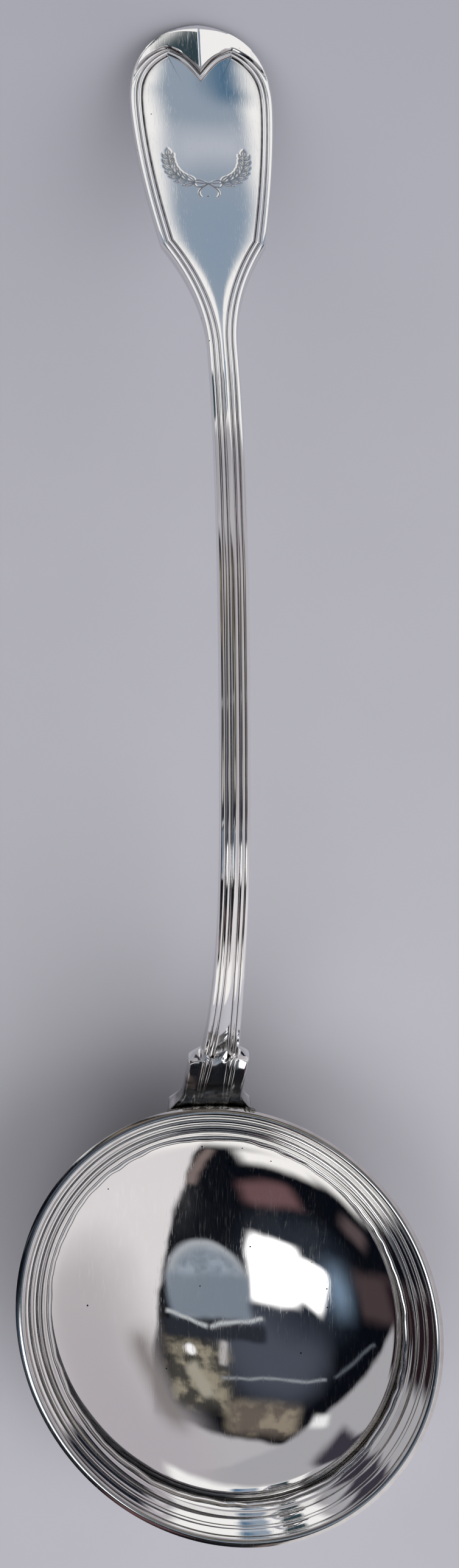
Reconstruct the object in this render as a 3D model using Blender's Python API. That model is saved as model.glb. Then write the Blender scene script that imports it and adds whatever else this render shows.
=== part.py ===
# Soup ladle, fiddle and thread pattern: a raised silver bowl, a reeded moulding round its
# lip, and a forged and die struck handle, soldered together.
# The ladle lies on a table as it is put down: bowl up, standing on the middle of the bowl
# and on the end of the handle. The origin is that spot under the bowl, +Y runs up the
# handle and +Z is up. Sizes are in metres and angles in degrees.

import math

import bmesh
import bpy
import numpy as np

# Bowl
REST_RADIUS = 0.0060        # flat the bowl stands on
THROAT_RADIUS = 0.0413      # outside of the wall where it starts to flare
THROAT_SLOPE = 76.0         # of the wall, from level
DISH_SLOPE = 37.0           # of the dish where it turns up
TURN_ROUND = 0.0055         # outside round of that turn
BOWL_WALL = 0.0010
FLARE_BEND = 0.0080         # radius of the bend from wall to lip
FLARE_ANGLE = 66.0          # slope of the lip
OVAL_STRETCH = 0.055        # the bowl is this much longer and narrower than round
OVAL_TURN = 37.5            # its long way, turned from the handle

# Rim moulding, from the inside of the bowl outwards
FINE_REED = 0.0017          # two of these
COVE = 0.0025
BROAD_REED = 0.0025         # one on each side of the middle reed
MIDDLE_REED = 0.0011
ROLLED_EDGE = 0.0014        # turned down over the edge of the lip
ROLL_DEPTH = 0.0008         # how far down that edge it reaches
MOULDING_BASE = 0.0008      # metal under the grooves
REED_RISE = 0.36            # height of a reed for its width

# Line of the handle's face, seen from the side
CREST_REACH = 0.1087
CREST_HEIGHT = 0.0798
SWEEP_REACH = 0.2060
SWEEP_HEIGHT = 0.0572
SWEEP_ANGLE = -36.0
TIP_REACH = 0.2865
TIP_ANGLE = -20.0
HANDLE_ASIDE = -0.0045      # the handle stands this far to one side of the bowl's middle

# Outline of the handle
TERMINAL_WIDTH = 0.0316
DOME_LENGTH = 0.0214
TAPER_LENGTH = 0.0443
FIDDLE_CORNER_WIDTH = 0.0221
WAIST_LENGTH = 0.0324
STEM_WIDTH = 0.0061
NECK_WIDTH = 0.0079
NECK_RUN = 0.042            # the stem widens over this length
SHOULDER_WIDTH = 0.0125
SHOULDER_STEP = 0.0014
SHOULDER_RISE = 0.0250      # from the lip up to the shoulders
HEEL_WIDTH = 0.0176         # spread where the handle meets the lip
HEEL_SPREAD = 0.0065
DROP_LENGTH = 0.0240        # tongue that laps the back of the bowl
DROP_POINT = 0.0080         # its middle line ends this far before its end
HOLLOW_RUN = 0.0080         # above the lip, the face turns hollow over this length

# Thickness of the handle
TERMINAL_THICKNESS = 0.0024
STEM_THICKNESS = 0.0034
NECK_THICKNESS = 0.0050
DROP_THICKNESS = 0.0016
BACK_ROUND = 0.4            # share of the thickness taken off the back at its edges

# Threads and nib struck on the face
TERMINAL_THREAD = 0.00145
STEM_THREAD = 0.00105
HEEL_THREAD = 0.0008
DROP_THREAD = 0.0006
THREAD_DEPTH = 0.00035
THREAD_STOP = 0.0040        # the threads have run out this far above the lip
EDGE_ROUND = 0.0003
TERMINAL_CROWN = 0.0008
STEM_CROWN = 0.0003
NIB_LENGTH = 0.0123         # from the tip down to the cusp of the heart
NIB_RISE = 0.0010
FIELD_ROOT = 0.0090         # below the cusp, where the field's middle line starts

# Solder
RIM_FILLET = 0.0008
RIM_FILLET_HEIGHT = 0.0006
HEEL_FILLET = 0.0010
HEEL_FILLET_HEIGHT = 0.0006
HEEL_START = 0.0020         # below the lip, where the heel's fillet starts

# Fits and fineness
SEAT_GAP = 0.0003
BOWL_STEPS = 56
WALL_STEPS = 6              # to each arc of the bowl's section
BEND_STEPS = 3
DISH_STEPS = 11
SEAT_STEPS = 30
MERGE = 0.00001


def clear_scene():
    for old in list(bpy.data.objects):
        bpy.data.objects.remove(old, do_unlink=True)


def silver(name, colour, roughness):
    material = bpy.data.materials.new(name)
    material.use_nodes = True
    shader = material.node_tree.nodes["Principled BSDF"]
    shader.inputs["Base Color"].default_value = (*colour, 1.0)
    shader.inputs["Metallic"].default_value = 1.0
    shader.inputs["Roughness"].default_value = roughness
    return material


def add_part(name, points, faces, material):
    """One closed mesh, its doubled points joined and its faces turned outwards."""
    mesh = bpy.data.meshes.new(name)
    work = bmesh.new()
    corners = [work.verts.new(p) for p in points]
    for face in faces:
        work.faces.new([corners[i] for i in face])
    bmesh.ops.remove_doubles(work, verts=work.verts, dist=MERGE)
    bmesh.ops.recalc_face_normals(work, faces=work.faces)
    for face in work.faces:
        face.smooth = True
    work.to_mesh(mesh)
    work.free()
    mesh.materials.append(material)
    part = bpy.data.objects.new(name, mesh)
    bpy.context.collection.objects.link(part)
    return part


# Bowl and rim: sections in radius and height, turned round the bowl's axis
def oval_matrix():
    """Turns a circle into the bowl's slight oval, seen from above."""
    turn = math.radians(90.0 + OVAL_TURN)
    along = np.array([math.cos(turn), math.sin(turn)])
    across = np.array([-along[1], along[0]])
    long_way = (1.0 + OVAL_STRETCH) * np.outer(along, along)
    return long_way + (1.0 - OVAL_STRETCH) * np.outer(across, across)


OVAL = oval_matrix()


def turned(section, closed):
    """Turn a section round the axis; an open one is closed by a flat disc at each end."""
    points = []
    for step in range(BOWL_STEPS):
        angle = 2.0 * math.pi * step / BOWL_STEPS
        ring = np.array([math.cos(angle), math.sin(angle)])
        for radius, height in section:
            x, y = OVAL @ (radius * ring)
            points.append((x, y, height))
    count = len(section)
    faces = []
    for step in range(BOWL_STEPS):
        here = step * count
        there = (step + 1) % BOWL_STEPS * count
        for i in range(count if closed else count - 1):
            j = (i + 1) % count
            faces.append((here + i, here + j, there + j, there + i))
    if not closed:
        faces.append([step * count for step in range(BOWL_STEPS)])
        faces.append([step * count + count - 1 for step in range(BOWL_STEPS)])
    return points, faces


def moulding_run():
    """Length of the moulding up the slope of the lip."""
    return 2 * FINE_REED + COVE + 2 * BROAD_REED + MIDDLE_REED + ROLLED_EDGE


def arc_on(start, radius, slopes, steps):
    """Arc that goes on from a point while its slope changes; a minus radius bends outwards."""
    first, last = slopes
    arc = []
    for a in np.linspace(first, last, steps + 1)[1:]:
        out = radius * (math.sin(a) - math.sin(first))
        up = radius * (math.cos(first) - math.cos(a))
        arc.append((start[0] + out, start[1] + up))
    return arc


def wall_slopes():
    return [math.radians(slope) for slope in (DISH_SLOPE, THROAT_SLOPE, FLARE_ANGLE)]


def outer_wall(steps):
    """Outside of the bowl up to the start of the straight lip: dish, turn and flare."""
    dish, throat, lip = wall_slopes()
    turn_out = TURN_ROUND * (math.sin(throat) - math.sin(dish))
    dish_round = (THROAT_RADIUS - REST_RADIUS - turn_out) / math.sin(dish)
    wall = [(REST_RADIUS, 0.0)]
    wall += arc_on(wall[-1], dish_round, (0.0, dish), steps)
    wall += arc_on(wall[-1], TURN_ROUND, (dish, throat), steps)
    wall += arc_on(wall[-1], -FLARE_BEND, (throat, lip), BEND_STEPS)
    return np.array(wall)


def slope_frame():
    """Start of the straight lip on its upper face, with the ways up it and off it."""
    lip_slope = wall_slopes()[-1]
    up = np.array([math.cos(lip_slope), math.sin(lip_slope)])
    off = np.array([-up[1], up[0]])
    return outer_wall(WALL_STEPS)[-1] + BOWL_WALL * off, up, off


def bowl_section():
    dish, throat, lip = wall_slopes()
    start, up, off = slope_frame()
    lip_run = moulding_run() - ROLLED_EDGE
    section = [*outer_wall(WALL_STEPS)]
    section += [start + lip_run * up - BOWL_WALL * off, start + lip_run * up, start]
    section += arc_on(start, -(FLARE_BEND + BOWL_WALL), (lip, throat), BEND_STEPS)
    section += arc_on(section[-1], TURN_ROUND - BOWL_WALL, (throat, dish), WALL_STEPS)
    # the dish inside is one ellipse from the turn to the middle, with no flat in it
    edge_r, edge_z = section[-1]
    fall = edge_z - BOWL_WALL
    sweep = math.acos(1.0 / (math.tan(dish) * edge_r / fall - 1.0))
    for a in np.linspace(sweep, 0.0, DISH_STEPS)[1:-1]:
        radius = edge_r * math.sin(a) / math.sin(sweep)
        height = BOWL_WALL + fall * (1.0 - math.cos(a)) / (1.0 - math.cos(sweep))
        section.append((radius, height))
    return section


def reed(start, width, steps):
    """Half round of a reed, as distances up the slope and heights off the lip."""
    arc = []
    for a in np.linspace(math.pi, 0.0, steps):
        along = start + width * 0.5 * (1.0 + math.cos(a))
        arc.append((along, SEAT_GAP + MOULDING_BASE + REED_RISE * width * math.sin(a)))
    return arc


def moulding_section():
    face = [(0.0, SEAT_GAP)]
    run = 0.0
    for width in (FINE_REED, FINE_REED, None, BROAD_REED, MIDDLE_REED, BROAD_REED):
        if width is None:
            run += COVE
        else:
            face += reed(run, width, 5)
            run += width
    foot = -ROLL_DEPTH
    top = SEAT_GAP + MOULDING_BASE
    for a in (20.0, 50.0, 80.0):
        along = run + ROLLED_EDGE * math.sin(math.radians(a))
        face.append((along, foot + (top - foot) * math.cos(math.radians(a)) ** 0.6))
    face.append((run + ROLLED_EDGE, foot))
    face.append((run + SEAT_GAP, foot))
    face.append((run + SEAT_GAP, SEAT_GAP))
    start, up, off = slope_frame()
    section = []
    for along, height in face:
        point = start + along * up + height * off
        if not section or np.linalg.norm(point - section[-1]) > 2 * MERGE:
            section.append(point)
    return section


def rim_solder_section():
    start, up, off = slope_frame()
    corners = [
        (-SEAT_GAP - RIM_FILLET, SEAT_GAP),
        (-SEAT_GAP, SEAT_GAP),
        (-SEAT_GAP, SEAT_GAP + RIM_FILLET_HEIGHT),
    ]
    return [start + along * up + height * off for along, height in corners]


# Handle: its face line in the plane x = 0, from the tip of the terminal to the end of the drop
def hermite(start, end, start_angle, end_angle, steps):
    start = np.array(start)
    end = np.array(end)
    chord = np.linalg.norm(end - start)
    out = chord * np.array([math.cos(start_angle), math.sin(start_angle)])
    into = chord * np.array([math.cos(end_angle), math.sin(end_angle)])
    curve = []
    for t in np.linspace(0.0, 1.0, steps):
        curve.append(
            (2 * t**3 - 3 * t**2 + 1) * start
            + (t**3 - 2 * t**2 + t) * out
            + (3 * t**2 - 2 * t**3) * end
            + (t**3 - t**2) * into
        )
    return curve


def bowl_side(radius, x):
    """How far up the handle the bowl's oval of this radius reaches, at a distance aside."""
    back = np.linalg.inv(OVAL)
    form = back.T @ back
    a = form[1, 1]
    b = 2.0 * form[0, 1] * x
    c = form[0, 0] * x * x - radius * radius
    return (-b + math.sqrt(max(b * b - 4.0 * a * c, 0.0))) / (2.0 * a)


class Spine:
    """Face line of the handle, with the distance along it measured from the tip."""

    def __init__(self):
        wall = outer_wall(SEAT_STEPS)
        lip_slope = wall_slopes()[-1]
        start, up, off = slope_frame()
        lip = start - BOWL_WALL * off + (moulding_run() - ROLLED_EDGE) * up
        wall = np.vstack([wall, lip])
        ways = np.gradient(wall, axis=0)
        ways /= np.linalg.norm(ways, axis=1)[:, None]
        seat = wall + SEAT_GAP * np.column_stack([ways[:, 1], -ways[:, 0]])
        seat = np.array([(bowl_side(r, HANDLE_ASIDE), z) for r, z in seat])
        tip_angle = math.radians(TIP_ANGLE)
        edge_thickness = (1.0 - BACK_ROUND) * TERMINAL_THICKNESS
        tip = (TIP_REACH, edge_thickness * math.cos(tip_angle))
        sweep_angle = math.radians(SWEEP_ANGLE)
        arch = hermite(seat[-1], (CREST_REACH, CREST_HEIGHT), lip_slope, 0.0, 80)
        arch += hermite(arch[-1], (SWEEP_REACH, SWEEP_HEIGHT), 0.0, sweep_angle, 80)[1:]
        arch += hermite(arch[-1], tip, sweep_angle, tip_angle, 80)[1:]
        lap = np.vstack([[0.0, 0.0], np.diff(seat, axis=0)])
        below = np.cumsum(np.linalg.norm(lap, axis=1))
        kept = below[-1] - below < DROP_LENGTH + 4 * HEEL_FILLET
        line = np.vstack([seat[kept][:-1], arch])[::-1]
        steps = np.linalg.norm(np.diff(line, axis=0), axis=1)
        self.along = np.concatenate([[0.0], np.cumsum(steps)])
        self.line = line
        way = np.gradient(line, self.along, axis=0)
        self.way = way / np.linalg.norm(way, axis=1)[:, None]
        self.lip = self.along[len(arch) - 1]
        self.end = self.lip + DROP_LENGTH

    def frame(self, s):
        """Point of the face line and the way off the face, in the plane x = 0."""
        point = np.array([np.interp(s, self.along, self.line[:, i]) for i in (0, 1)])
        way = np.array([np.interp(s, self.along, self.way[:, i]) for i in (0, 1)])
        way /= np.linalg.norm(way)
        return point, np.array([way[1], -way[0]])

    def place(self, s, u, n):
        """World point: s along the face from the tip, u aside, n off the face."""
        point, off = self.frame(s)
        lap = min(max((s - self.lip) / HOLLOW_RUN + 1.0, 0.0), 1.0)
        if lap > 0.0:
            # below the lip the face is hollowed to fit the bowl
            radius = bowl_radius(point[0])
            hollow = bowl_side(radius, HANDLE_ASIDE) - bowl_side(radius, HANDLE_ASIDE + u)
            n = n - lap * lap * hollow * off[0]
        return (HANDLE_ASIDE + u, point[0] + n * off[0], point[1] + n * off[1])


def bowl_radius(reach):
    """Radius of the round whose oval reaches this far up, in the plane of the handle."""
    return np.linalg.norm(np.linalg.inv(OVAL) @ (HANDLE_ASIDE, reach))


def outline(spine, fine):
    """Right edge of the handle as (s, u) from tip to drop, with the numbers of its corners."""
    half = TERMINAL_WIDTH / 2
    edge = []
    for a in np.linspace(0.0, math.pi / 2, 7 * fine + 1):
        s = DOME_LENGTH * (1.0 - max(math.cos(a), 0.0) ** 0.8)
        edge.append((s, half * math.sin(a) ** 0.91))
    corner = FIDDLE_CORNER_WIDTH / 2
    for t in np.linspace(0.0, 1.0, 5 * fine + 1)[1:]:
        edge.append((DOME_LENGTH + TAPER_LENGTH * t, half - (half - corner) * t**1.5))
    corners = [len(edge) - 1]
    stem = STEM_WIDTH / 2
    waist = DOME_LENGTH + TAPER_LENGTH
    for t in np.linspace(0.0, 1.0, 6 * fine + 1)[1:]:
        edge.append((waist + WAIST_LENGTH * t, stem + (corner - stem) * (1.0 - t) ** 2))
    neck = NECK_WIDTH / 2
    step = spine.lip - SHOULDER_RISE
    for s in np.linspace(waist + WAIST_LENGTH, step, 14 * fine + 1)[1:]:
        t = max(0.0, 1.0 - (step - s) / NECK_RUN)
        edge.append((s, stem + (neck - stem) * t * t))
    corners.append(len(edge) - 1)
    shoulder = SHOULDER_WIDTH / 2
    edge.append((step + SHOULDER_STEP, shoulder))
    corners.append(len(edge) - 1)
    heel = HEEL_WIDTH / 2
    for s in np.linspace(step + SHOULDER_STEP, spine.lip, 6 * fine + 1)[1:]:
        t = max(0.0, 1.0 - (spine.lip - s) / HEEL_SPREAD)
        edge.append((s, shoulder + (heel - shoulder) * t**2.2))
    for a in np.linspace(0.0, math.pi / 2, 7 * fine + 1)[1:]:
        s = spine.lip + DROP_LENGTH * math.sin(a)
        edge.append((s, heel * max(math.cos(a), 0.0) ** 0.9))
    edge[-1] = (spine.end, 0.0)
    return np.array(edge), corners


def inward(edge, corners, ends):
    """Way from each edge point into the metal, one long across the edge's own normal."""
    ways = []
    for i in range(len(edge)):
        before = edge[i] - edge[max(i - 1, 0)]
        after = edge[min(i + 1, len(edge) - 1)] - edge[i]
        normals = []
        for side in (before, after):
            size = np.linalg.norm(side)
            if size > 0.0:
                normals.append(np.array([side[1], -side[0]]) / size)
        way = normals[0] + normals[-1]
        way = way / np.linalg.norm(way)
        if i in corners:
            way = way / max(way @ normals[0], 0.5)
        ways.append(way)
    ways[0] = np.array([ends[0], 0.0])
    ways[-1] = np.array([ends[1], 0.0])
    return np.array(ways)


def handle_rows(spine, fine):
    """Rows of (s, u, n) points across the face and the back, from the tip to the drop."""
    edge, corners = outline(spine, fine)
    ways = inward(edge, corners, (1.0, -1.0))
    rim = edge + EDGE_ROUND * ways
    dome = 7 * fine
    # the threads leave the edge at the top and dip to the cusp of a heart
    heart = rim.copy()
    for i in range(dome):
        t = max(0.0, 1.0 - i / (0.72 * dome))
        heart[i, 0] += (NIB_LENGTH - EDGE_ROUND) * t**2.5
    ways_in = inward(heart, corners, (1.7, -1.0))
    steps = np.linalg.norm(np.diff(edge, axis=0), axis=1)
    run = np.concatenate([[0.0], np.cumsum(steps)])
    fan = int(np.argmax(edge[:, 0] > 0.8 * (DOME_LENGTH + TAPER_LENGTH)))
    lip = int(np.argmax(edge[:, 0] >= spine.lip - MERGE))
    waist = DOME_LENGTH + TAPER_LENGTH + WAIST_LENGTH
    step = spine.lip - SHOULDER_RISE
    # tip, waist, shoulders, lip and the end of the drop, and the sizes met there
    marks = [0.0, waist, step, spine.lip, spine.end]
    threads = [TERMINAL_THREAD, STEM_THREAD, STEM_THREAD, HEEL_THREAD, DROP_THREAD]
    crowns = [TERMINAL_CROWN, STEM_CROWN, STEM_CROWN, 0.0, 0.0]
    thicknesses = [
        TERMINAL_THICKNESS,
        STEM_THICKNESS,
        NECK_THICKNESS,
        NECK_THICKNESS,
        DROP_THICKNESS,
    ]
    rows = []
    for i, (s, u) in enumerate(edge):
        thread = np.interp(s, marks, threads)
        depth = np.interp(s, [step, spine.lip - THREAD_STOP], [THREAD_DEPTH, 0.0])
        crown = np.interp(s, marks, crowns)
        thick = np.interp(s, marks, thicknesses)
        if i < fan:
            root = NIB_LENGTH + FIELD_ROOT
            middle = root + (edge[fan, 0] - root) * run[i] / run[fan]
        elif i > lip:
            t = (run[i] - run[lip]) / (run[-1] - run[lip])
            middle = spine.lip + (DROP_LENGTH - DROP_POINT) * t
        else:
            middle = s
        nib = (1.0 - i / dome) ** 2 if i < dome else 0.0
        flat = min(depth, EDGE_ROUND)
        row = [(s, u, -flat)]
        half_way = 0.5 * (edge[i] + heart[i])
        row.append((*half_way, -0.3 * flat + NIB_RISE * nib))
        row.append((*heart[i], -0.7 * depth * (1.0 - nib) + 0.5 * NIB_RISE * nib))
        for place, drop in ((0.5, 0.0), (1.0, 1.0), (1.5, 0.0), (2.0, 1.0)):
            row.append((*(heart[i] + place * thread * ways_in[i]), -drop * depth))
        groove = np.array(row[-1][:2])
        centre = np.array([middle, 0.0])
        for t in (0.5, 1.0):
            rise = -depth + (crown + depth) * (1.0 - (1.0 - t) ** 2)
            row.append((*(groove + t * (centre - groove)), rise))
        back = []
        for t in (0.0, 0.45, 1.0):
            fall = thick * (1.0 - BACK_ROUND * (1.0 - t) ** 2.5)
            back.append((*(edge[i] + t * (centre - edge[i])), -fall))
        rows.append(row + back[::-1])
    return rows


def handle_mesh(spine):
    rows = handle_rows(spine, 1)
    points = []
    faces = []
    count = len(rows[0])
    for side in (1.0, -1.0):
        first = len(points)
        for row in rows:
            points += [spine.place(s, side * u, n) for s, u, n in row]
        for i in range(len(rows) - 1):
            for j in range(count):
                k = (j + 1) % count
                a = first + i * count
                if rows[i][j][1] == 0.0 == rows[i][k][1] == rows[i + 1][j][1] == rows[i + 1][k][1]:
                    continue
                faces.append((a + j, a + k, a + count + k, a + count + j))
    return points, faces


def heel_solder_mesh(spine):
    """Fillet run round the drop, from under the lip on one side to the other."""
    edge, corners = outline(spine, 1)
    ways = inward(edge, corners, (1.0, -1.0))
    low = [i for i in range(len(edge)) if edge[i, 0] > spine.lip + HEEL_START]
    path = [(i, 1.0) for i in low] + [(i, -1.0) for i in reversed(low[:-1])]
    points = []
    for i, side in path:
        for out, down in ((0.0, 0.0), (HEEL_FILLET, 0.0), (0.0, HEEL_FILLET_HEIGHT)):
            s, u = edge[i] - (SEAT_GAP + out) * ways[i]
            points.append(spine.place(s, side * u, -down))
    faces = [(0, 1, 2), (len(points) - 1, len(points) - 2, len(points) - 3)]
    for i in range(len(path) - 1):
        for j in range(3):
            k = (j + 1) % 3
            faces.append((3 * i + j, 3 * i + k, 3 * i + 3 + k, 3 * i + 3 + j))
    return points, faces


clear_scene()
handle_spine = Spine()
raised = silver("raised sterling silver", (0.93, 0.91, 0.88), 0.10)
drawn = silver("drawn sterling silver moulding", (0.93, 0.91, 0.88), 0.12)
forged = silver("forged sterling silver", (0.93, 0.91, 0.88), 0.11)
rim_solder = silver("silver solder at the rim", (0.80, 0.78, 0.74), 0.25)
heel_solder = silver("silver solder at the heel", (0.80, 0.78, 0.74), 0.25)
add_part("bowl", *turned(bowl_section(), False), raised)
add_part("rim_moulding", *turned(moulding_section(), True), drawn)
add_part("rim_solder", *turned(rim_solder_section(), True), rim_solder)
add_part("handle", *handle_mesh(handle_spine), forged)
add_part("heel_solder", *heel_solder_mesh(handle_spine), heel_solder)
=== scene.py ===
# %% [markdown]
# # A silver soup ladle in the fiddle and thread pattern
# The ladle lies bowl up on a plain table top. Its solids come ready made and are the fixed
# frame here. This script lays a fine surface over each of them and gives it a finish.
# Polished silver has almost no colour of its own, so the work goes into clean curves, into
# small wear, and into the room that the metal mirrors.

# %% Load the solids
import math

import bmesh
import bpy
import numpy as np
from mathutils import Matrix, Vector, kdtree, noise


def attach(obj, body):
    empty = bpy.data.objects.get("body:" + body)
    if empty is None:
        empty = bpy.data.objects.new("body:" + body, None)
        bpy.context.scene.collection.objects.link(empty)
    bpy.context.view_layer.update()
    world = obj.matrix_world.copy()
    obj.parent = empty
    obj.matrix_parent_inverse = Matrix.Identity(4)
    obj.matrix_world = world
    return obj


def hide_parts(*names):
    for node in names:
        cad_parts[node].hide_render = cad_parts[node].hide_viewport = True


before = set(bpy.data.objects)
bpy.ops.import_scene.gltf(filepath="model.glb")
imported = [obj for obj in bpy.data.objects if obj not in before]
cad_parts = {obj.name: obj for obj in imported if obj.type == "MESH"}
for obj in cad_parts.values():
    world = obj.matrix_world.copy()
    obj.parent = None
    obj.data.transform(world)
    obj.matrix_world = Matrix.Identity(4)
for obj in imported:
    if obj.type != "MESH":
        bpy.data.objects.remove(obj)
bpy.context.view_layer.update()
print("solids:", sorted(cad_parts))

# %% [markdown]
# ## One way to make a surface
# Every piece of a ladle is either turned round an axis or swept along a line, so each one is
# a grid of points. A subdivision surface could smooth the coarse solids, but a mirror shows
# each dent that it leaves. Grids worked out from the same curves as the solids are exact, and
# only the points that two grids share need welding.

# %% Grids, welding and shading
WELD = 0.000002
CREASE = math.radians(42.0)


def grid_faces(rows, columns, first=0, rows_join=False, columns_join=False):
    """Four-sided faces over a grid of points, as lists of point numbers."""
    r = np.arange(rows if rows_join else rows - 1)[:, None]
    c = np.arange(columns if columns_join else columns - 1)[None, :]
    after_r = (r + 1) % rows
    after_c = (c + 1) % columns
    corners = (r * columns + c, r * columns + after_c, after_r * columns + after_c, after_r * columns + c)
    return (first + np.stack(np.broadcast_arrays(*corners), axis=-1).reshape(-1, 4)).tolist()


def add_piece(name, points, faces, tarnish_and_painted_reflection):
    """One smooth mesh that moves with the ladle. Its layer of tarnish and painted dark reflection is 1 where
    black.
    """
    mesh = bpy.data.meshes.new(name)
    mesh.from_pydata(np.asarray(points).reshape(-1, 3).tolist(), [], faces)
    layer = mesh.attributes.new("tarnish_and_painted_reflection", "FLOAT", "POINT")
    layer.data.foreach_set("value", np.ascontiguousarray(tarnish_and_painted_reflection, np.float32).ravel())
    work = bmesh.new()
    work.from_mesh(mesh)
    bmesh.ops.remove_doubles(work, verts=work.verts, dist=WELD)
    bmesh.ops.dissolve_degenerate(work, edges=work.edges, dist=WELD)
    bmesh.ops.recalc_face_normals(work, faces=work.faces)
    work.to_mesh(mesh)
    work.free()
    mesh.shade_smooth()
    mesh.set_sharp_from_angle(angle=CREASE)
    piece = bpy.data.objects.new(name, mesh)
    bpy.context.scene.collection.objects.link(piece)
    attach(piece, "root")
    size = [round(1000.0 * side, 1) for side in piece.dimensions]
    print(name, "has", len(mesh.polygons), "faces and measures", size, "mm")
    return piece


print("points closer than", round(1000 * WELD, 3), "mm are welded")

# %% [markdown]
# ## The bowl
# The bowl was raised from a flat disc by hammering, then smoothed and polished. It is a wide
# dish that turns up into a short wall and bends out into a flared lip. The inside runs the
# same way one wall thickness further in. It is turned here as one section round the bowl's
# axis and drawn a little oval. Hammer work is never quite true, so the inside also gets a
# swell of a few hundredths of a millimetre, which makes what it mirrors flow.

# %% Sizes of the bowl, in metres
REST_RADIUS = 0.0060
THROAT_RADIUS = 0.0413
THROAT_SLOPE = math.radians(76.0)
DISH_SLOPE = math.radians(37.0)
TURN_ROUND = 0.0055
BOWL_WALL = 0.0010
FLARE_BEND = 0.0080
LIP_SLOPE = math.radians(66.0)
OVAL_STRETCH = 0.055
OVAL_TURN = math.radians(37.5)

FINE_REED = 0.0017
COVE = 0.0025
BROAD_REED = 0.0025
MIDDLE_REED = 0.0011
ROLLED_EDGE = 0.0014
LIP_RUN = 2 * FINE_REED + COVE + 2 * BROAD_REED + MIDDLE_REED

long_way = np.array([-math.sin(OVAL_TURN), math.cos(OVAL_TURN)])
short_way = np.array([long_way[1], -long_way[0]])
OVAL = (1 + OVAL_STRETCH) * np.outer(long_way, long_way) + (1 - OVAL_STRETCH) * np.outer(short_way, short_way)
print("lip runs", round(1000 * (LIP_RUN + ROLLED_EDGE), 1), "mm up its slope")


# %% Section of the bowl
BOWL_STEPS = 288
WALL_STEPS = 48
DISH_STEPS = 120


def turned(section):
    """Points of a section of (radius, height), turned round the bowl's axis."""
    angle = np.linspace(0.0, 2.0 * math.pi, BOWL_STEPS, endpoint=False)
    ring = np.stack([np.cos(angle), np.sin(angle)], axis=-1) @ OVAL.T
    section = np.asarray(section)
    points = np.empty((BOWL_STEPS, len(section), 3))
    points[..., :2] = ring[:, None, :] * section[None, :, :1]
    points[..., 2] = section[None, :, 1]
    return points


def arc_on(start, radius, first, last, steps):
    """Arc that goes on from a point while its slope changes; a minus radius bends outwards."""
    a = np.linspace(first, last, steps + 1)[1:]
    out = radius * (np.sin(a) - math.sin(first))
    up = radius * (math.cos(first) - np.cos(a))
    return start + np.stack([out, up], axis=-1)


def outer_wall(steps):
    """Outside of the bowl up to the foot of the straight lip: dish, turn and flare."""
    turn_out = TURN_ROUND * (math.sin(THROAT_SLOPE) - math.sin(DISH_SLOPE))
    dish_round = (THROAT_RADIUS - REST_RADIUS - turn_out) / math.sin(DISH_SLOPE)
    rest = np.array([(REST_RADIUS, 0.0)])
    dish = arc_on(rest[-1], dish_round, 0.0, DISH_SLOPE, steps)
    turn = arc_on(dish[-1], TURN_ROUND, DISH_SLOPE, THROAT_SLOPE, steps)
    flare = arc_on(turn[-1], -FLARE_BEND, THROAT_SLOPE, LIP_SLOPE, steps // 4)
    return np.vstack([rest, dish, turn, flare])


wall = outer_wall(WALL_STEPS)
UP = np.array([math.cos(LIP_SLOPE), math.sin(LIP_SLOPE)])
OFF = np.array([-UP[1], UP[0]])
lip_foot = wall[-1] + BOWL_WALL * OFF
lip_run = np.linspace(0.0, LIP_RUN, 8)[1:]
lip_back = wall[-1] + lip_run[:, None] * UP
lip_face = lip_foot + np.append(lip_run[::-1], 0.0)[:, None] * UP
inner_bend = arc_on(lip_foot, -(FLARE_BEND + BOWL_WALL), LIP_SLOPE, THROAT_SLOPE, 14)
inner_turn = arc_on(inner_bend[-1], TURN_ROUND - BOWL_WALL, THROAT_SLOPE, DISH_SLOPE, WALL_STEPS)

# the dish inside is one ellipse that leaves the turn at its slope, with no flat in it
edge_r, edge_z = inner_turn[-1]
fall = edge_z - BOWL_WALL
sweep = math.acos(1.0 / (math.tan(DISH_SLOPE) * edge_r / fall - 1.0))
a = np.linspace(sweep, 0.002, DISH_STEPS)[1:]
dish_r = edge_r * np.sin(a) / math.sin(sweep)
dish_z = BOWL_WALL + fall * (1.0 - np.cos(a)) / (1.0 - math.cos(sweep))
inside = np.vstack([inner_bend, inner_turn, np.stack([dish_r, dish_z], axis=-1)])
section = np.vstack([wall, lip_back, lip_face, inside])
inside_depth = round(1000 * (lip_face[0, 1] - BOWL_WALL), 1)
print("bowl section has", len(section), "points; inside depth", inside_depth, "mm")

# %% Turn the bowl
SWELL = 0.00003
SWELL_LENGTH = 0.022
FINE_SWELL = 0.4
SWELL_EASE = 40

points = turned(section)
swell_from = len(section) - len(inside)
for row in points:
    for number in range(swell_from, len(section)):
        x, y, z = row[number]
        broad = noise.noise(Vector((x, y, z)) / SWELL_LENGTH)
        fine = noise.noise(Vector((y, x, z)) / (FINE_SWELL * SWELL_LENGTH))
        # the swell dies out towards the lip
        ease = min(1.0, (number - swell_from) / SWELL_EASE)
        row[number, 2] += SWELL * ease * (broad + FINE_SWELL * fine)
count = len(section)
faces = grid_faces(BOWL_STEPS, count, rows_join=True)
faces.append([step * count for step in range(BOWL_STEPS)])
faces.append([step * count + count - 1 for step in range(BOWL_STEPS)])
bowl = add_piece("silver_bowl", points, faces, np.zeros(points.shape[:2]))
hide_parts("bowl")

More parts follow.
